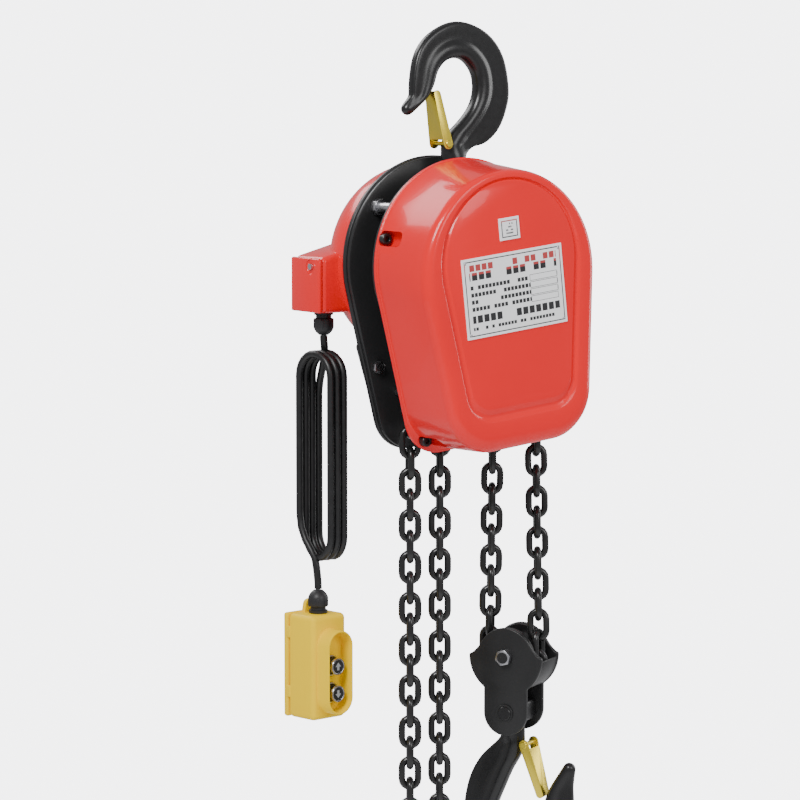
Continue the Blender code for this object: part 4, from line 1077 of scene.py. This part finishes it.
def build_pendant():
    w, h, front, back = 26 * MM, 61 * MM, -26 * MM, 18 * MM
    shell = block((-w, front, -h), (w, back, h), 6 * MM, 5)
    piece("pendant_shell", shell, "yellow_plastic", "hoist_body", ["pendant_housing"], PENDANT)
    cover = block((-w, back + 0.4 * MM, -h), (w, back + 8 * MM, h), 3 * MM, 4)
    piece("pendant_back", cover, "yellow_plastic", "hoist_body", ["pendant_rear_cover"], PENDANT)
    middle, run, radius = -4.5 * MM, 30 * MM, 19.5 * MM
    face = front - 19 * MM
    rows = [
        (front + 2 * MM, radius + 0.6 * MM),
        (front + 0.4 * MM, radius + 0.6 * MM),
        (front - 1.2 * MM, radius - 0.1 * MM),
        (face + 1.0 * MM, radius - 0.6 * MM),
        (face + 0.2 * MM, radius - 0.9 * MM),
        (face, radius - 1.5 * MM),
        (face + 0.2 * MM, radius - 2.3 * MM),
        (face + 1.0 * MM, radius - 2.7 * MM),
        (front - 1.2 * MM, radius - 3.1 * MM),
        (front + 0.4 * MM, radius - 4.2 * MM),
        (front + 2 * MM, radius - 4.2 * MM),
    ]
    rings = [[(x, y, z) for x, z in stadium(r, run, middle)] for y, r in rows]
    collar = loft(rings, (False, False))
    piece("pendant_collar", collar, "yellow_plastic", "hoist_body", (), PENDANT)
    eye_z = h + 8 * MM
    ear = arc(0, eye_z, 7 * MM, 0, math.pi, 16) + [(-10 * MM, h - 6 * MM), (10 * MM, h - 6 * MM)]
    ear = carve(prism(ear, back - 10.5 * MM, back - 4.5 * MM), eye_hole(eye_z))
    piece("pendant_ear", soften(ear, 0.8 * MM, 2, 50), "yellow_plastic", "hoist_body", (), PENDANT)
    for z in (39 * MM, -31 * MM):
        low = (-w - 0.5 * MM, back - 5 * MM, z - 7 * MM)
        high = (-w + 3 * MM, back + 3 * MM, z + 7 * MM)
        boss = block(low, high, 1.5 * MM, 3)
        name = "pendant_clip_" + ("upper" if z > 0 else "lower")
        piece(name, boss, "yellow_plastic", "hoist_body", (), PENDANT)
    build_buttons(front)


def eye_hole(z):
    return turned([(0, -40 * MM), (3 * MM, -40 * MM), (3 * MM, 40 * MM), (0, 40 * MM)], (0, 0, z), "Y", 24)


def build_buttons(front):
    for way, z, up in (("up", 2.3 * MM, 1), ("down", -29.7 * MM, -1)):
        centre = (0, 0, z)
        bezel = [(12.4, 0.6), (12.4, -2.4), (11.9, -3.1), (10.7, -3.3), (10.2, -2.9), (10.2, 0.6)]
        form = turned([(r * MM, front + y * MM) for r, y in bezel], centre, "Y", 48, closed=True)
        piece(f"{way}_bezel", form, "steel", "hoist_body", (), PENDANT)
        cap = [(0, -40.2), (5.4, -40.3), (7.6, -40.7), (8.6, -41), (9.3, -40.5), (9.6, -39.6), (9.6, -22.6)]
        cap += [(11.8, -22.6), (11.8, -19.6), (0, -19.6)]
        form = turned(mm(cap), centre, "Y", 48)
        name = f"{way}_button"
        piece(name + "_cap", form, "black_plastic", name, [name], PENDANT)
        rim = [(9.7, -37.6), (9.9, -38), (9.9, -40), (9.3, -40.9), (8.3, -41), (7.8, -40.7), (7.8, -39.6)]
        form = turned(mm(rim), centre, "Y", 48, closed=True)
        piece(name + "_rim", form, "steel", name, (), PENDANT)
        arrow = [(0, 4.6), (-4.2, -0.2), (-1.6, -0.2), (-1.6, -4.4), (1.6, -4.4), (1.6, -0.2), (4.2, -0.2)]
        loop = [(x * MM, z + up * zz * MM) for x, zz in arrow]
        form = prism(loop, -40.6 * MM, -39.8 * MM)
        piece(name + "_arrow", form, "black_plastic", name, (), PENDANT, finish="grey_mark")


# ---------------------------------------------------------------- hook block


def block_outline():
    """A block plate: a dome over the idler, two chain-guard wings and a rounded tail."""
    waist, wing = 27 * MM, 46 * MM
    waist_angle = -math.acos(waist / wing)
    dome = arc(0, 0, 34 * MM, math.radians(38), math.radians(142), 26)
    right = arc(0, 0, wing, waist_angle, math.radians(1), 14)
    hollow = mm([(41.5, 3.2), (38.2, 6.2), (34.6, 10.0), (31.0, 15.4)])
    left = [(-x, z) for x, z in reversed(right)]
    left_hollow = [(-x, z) for x, z in reversed(hollow)]
    tail = arc(0, -66.5 * MM, waist, math.pi, 2 * math.pi, 28)
    return right + hollow + dome + left_hollow + left + tail


def build_block():
    for name, low, high in (("front", -27, -21), ("rear", 21, 27)):
        form = prism(block_outline(), low * MM, high * MM, 1.3 * MM, 3)
        piece(f"block_cheek_{name}", form, "black_steel", "hook_block", [f"block_{name}_plate"], BLOCK)
    for side, first, last in (("left", 184, 232), ("right", 356, 308)):
        outer = arc(0, 0, 45.6 * MM, math.radians(first), math.radians(last), 14)
        inner = arc(0, 0, 43.2 * MM, math.radians(last), math.radians(first), 14)
        form = prism(outer + inner, -21 * MM, 21 * MM, 0.7 * MM)
        piece(f"block_strip_{side}", form, "black_steel", "hook_block", [f"block_guard_{side}"], BLOCK)
    shaft = [(0, -35), (6.2, -35), (6.8, -34.5), (6.8, -34), (6, -28), (6, 34), (5, 35), (0, 35)]
    form = turned(mm(shaft), (0, 0, 0), "Y", 32)
    piece("idler_bolt_shank", form, "black_steel", "hook_block", ["idler_bolt"], BLOCK)
    form = hexagon((0, 0, 0), "Y", 10 * MM, -34.6 * MM, -27.2 * MM, 0.9 * MM, 0.26)
    piece("idler_bolt_hex", form, "machined", "hook_block", (), BLOCK)
    form = hexagon((0, 0, 0), "Y", 10 * MM, 27.2 * MM, 34 * MM, 0.9 * MM, 0.1)
    piece("idler_nut_hex", form, "steel", "hook_block", ["idler_nut"], BLOCK)
    wheel = [(6.3, -17.5), (32.4, -17.5), (33, -16.9), (33, -15.2), (32.4, -14.6), (24.6, -14.6)]
    wheel += [(24.6, -5), (15.9, -4.6)]
    profile = wheel + [(r, -y) for r, y in reversed(wheel)]
    form = turned(mm(profile), (0, 0, 0), "Y", 64, closed=True)
    piece("idler_wheel", form, "machined", "idler_sheave", ["idler_sheave"], BLOCK, finish="forged_black")
    bar = block((-19 * MM, -20.5 * MM, -78.5 * MM), (19 * MM, 20.5 * MM, -54.5 * MM), 3.5 * MM, 3)
    bore = [(0, -100), (11.3, -100), (11.3, -40), (0, -40)]
    bar = carve(bar, turned(mm(bore), (0, 0, 0), "Z", 40))
    piece("trunnion_bar", bar, "forged_black", "hook_trunnion", ["hook_trunnion"], BLOCK)
    for side in (-1, 1):
        pin = [(0, 19), (8, 19), (8, 29.2), (7.2, 30), (0, 30)]
        form = turned([(r * MM, side * y * MM) for r, y in pin], (0, 0, -66.5 * MM), "Y", 40)
        name = "front" if side < 0 else "rear"
        piece(f"trunnion_end_{name}", form, "forged_black", "hook_trunnion", (), BLOCK)
        gap = math.radians(20)
        outer = arc(0, -66.5 * MM, 10.6 * MM, -math.pi / 2 + gap, 1.5 * math.pi - gap, 40)
        inner = arc(0, -66.5 * MM, 8.1 * MM, 1.5 * math.pi - gap, -math.pi / 2 + gap, 40)
        low, high = sorted((side * 27.4 * MM, side * 28.8 * MM))
        form = prism(outer + inner, low, high, 0.3 * MM, 1)
        piece(f"trunnion_clip_{name}", form, "black_steel", "hook_trunnion", (), BLOCK)


# ---------------------------------------------------------------- chain


def link_mesh():
    """One link: a round bar bent into a long oval and closed, standing along Z and wide along X."""
    bend = (LINK_WIDTH - WIRE) / 2
    run = PITCH / 2 + WIRE / 2 - bend
    bm = bmesh.new()
    at = Matrix.Translation((bend, 0, run))
    made = bmesh.ops.create_circle(bm, cap_ends=False, segments=10, radius=WIRE / 2, matrix=at)
    start = list({e for v in made["verts"] for e in v.link_edges})
    edges = start
    for end in (1, -1):
        turn = bmesh.ops.spin(
            bm,
            geom=edges,
            cent=(0, 0, end * run),
            axis=(0, -1, 0),
            angle=math.pi,
            steps=8,
            use_merge=False,
        )
        edges = [e for e in turn["geom_last"] if isinstance(e, bmesh.types.BMEdge)]
        if end == 1:
            grown = bmesh.ops.extrude_edge_only(bm, edges=edges)["geom"]
            verts = [v for v in grown if isinstance(v, bmesh.types.BMVert)]
            bmesh.ops.translate(bm, verts=verts, vec=(0, 0, -2 * run))
            edges = [e for e in grown if isinstance(e, bmesh.types.BMEdge)]
            edges = [e for e in edges if all(v in verts for v in e.verts)]
    bmesh.ops.bridge_loops(bm, edges=start + edges)
    bmesh.ops.recalc_face_normals(bm, faces=bm.faces)
    mesh = bpy.data.meshes.new("link")
    bm.to_mesh(mesh)
    bm.free()
    return mesh


def link_place(a, b, wide):
    along = (b - a).normalized()
    wide = (wide - along * wide.dot(along)).normalized()
    turn = Matrix((wide, along.cross(wide), along)).transposed().to_4x4()
    return Matrix.Translation((a + b) / 2) @ turn


def chain(name, joints, widths, node, body="hoist_body"):
    template = link_mesh()
    bm = bmesh.new()
    for a, b, wide in zip(joints, joints[1:], widths):
        kept = set(bm.verts)
        bm.from_mesh(template)
        fresh = [v for v in bm.verts if v not in kept]
        bmesh.ops.transform(bm, matrix=link_place(a, b, wide), verts=fresh)
    bpy.data.meshes.remove(template)
    return piece(name, bm, "chain_black", body, [node], angle=75)


def widths_of(joints, rolls):
    """Which way each link is wide: every second one is a quarter turn on."""
    out = []
    for k, (a, b) in enumerate(zip(joints, joints[1:])):
        along = (b - a).normalized()
        level = Vector((0, 1, 0)).cross(along).normalized()
        if along.z < 0:
            level = -level
        flat = (Vector((0, 1, 0)) - along * along.y).normalized()
        turn = rolls[k] + (math.pi / 2 if k % 2 else 0)
        out.append(level * math.cos(turn) + flat * math.sin(turn))
    return out


def eased_rolls(count, start, middle, end, lead, tail):
    out = []
    for k in range(count):
        near = min(1, k / lead) if lead else 1
        far = min(1, (count - 1 - k) / tail) if tail else 1
        out.append(start + (middle - start) * near + (end - middle) * (1 - far))
    return out


def spaced(a, b, count):
    return [a.lerp(b, k / count) for k in range(count + 1)]


def wrap(centre, radius, across, first, last, count):
    steps = [math.radians(first + (last - first) * k / count) for k in range(count + 1)]
    return [centre + across * (radius * math.cos(a)) + Vector((0, 0, radius * math.sin(a))) for a in steps]


def shorten(obj):
    """Gives a fall a mesh of its own."""
    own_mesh(obj)


def build_chain():
    side = Vector((1, 0, 0))
    over = wrap(SHEAVE, SHEAVE_R, side, 180, 0, 5)
    rolls = [math.pi / 2] * 5
    chain("chain_over_sheave", over, widths_of(over, rolls), "chain_on_sheave")
    across = Vector((math.cos(BLOCK_YAW), math.sin(BLOCK_YAW), 0))
    normal = Vector((-math.sin(BLOCK_YAW), math.cos(BLOCK_YAW), 0))
    under = wrap(BLOCK_ORIGIN, IDLER_R, across, 180, 360, 4)
    widths = []
    for k, (a, b) in enumerate(zip(under, under[1:])):
        widths.append(normal.cross((b - a).normalized()) if k % 2 else normal)
    chain("chain_under_idler", under, widths, "chain_on_idler", "hook_block")
    down = spaced(over[-1], under[0], BLOCK_LIFT_LINKS)
    rolls = eased_rolls(BLOCK_LIFT_LINKS, 0, CHAIN_YAW, BLOCK_YAW, 6, 2)
    fall = chain("chain_running_fall", down, widths_of(down, rolls), "running_fall")
    shorten(fall)
    dead = spaced(DEAD_END, under[-1], FALL_DEAD_LINKS)
    rolls = eased_rolls(FALL_DEAD_LINKS, 0, CHAIN_YAW, BLOCK_YAW, 4, 2)
    fall = chain("chain_dead_fall", dead, widths_of(dead, rolls), "dead_fall")
    shorten(fall)
    start = over[0]
    low = start - Vector((0, 0, PITCH * SLACK_DOWN_LINKS))
    span = (start.x - SLACK_X) / 2
    middle = Vector((SLACK_X + span, 0, low.z))
    bend = wrap(middle, span, side, 0, -180, 3)
    rise = [bend[-1] + Vector((0, 0, PITCH * k)) for k in range(1, SLACK_UP_LINKS + 1)]
    joints = spaced(start, low, SLACK_DOWN_LINKS) + bend[1:] + rise
    rolls = eased_rolls(SLACK_DOWN_LINKS, 0, CHAIN_YAW, CHAIN_YAW, 6, 0)
    rolls += [CHAIN_YAW] * 3
    rolls += eased_rolls(SLACK_UP_LINKS, CHAIN_YAW, CHAIN_YAW, 0, 0, 4)
    chain("chain_slack_loop", joints, widths_of(joints, rolls), "slack_chain")


# ---------------------------------------------------------------- the whole hoist


def dress_frame():
    """Every CAD node that still shows gets the finish of its slot."""
    slots = {s["node"]: s["material_slot"] for s in frame["record"]["subparts"]}
    for name, node in frame["nodes"].items():
        node.data.materials.clear()
        node.data.materials.append(FINISHES[slots[name]])


add_camera()
add_studio()
FINISHES = make_finishes()
build_cord()
dress_frame()
build_hooks()
build_cover()
build_plates()
build_labels()
build_motor()
build_junction()
build_glands()
build_pendant()
build_block()
build_chain()
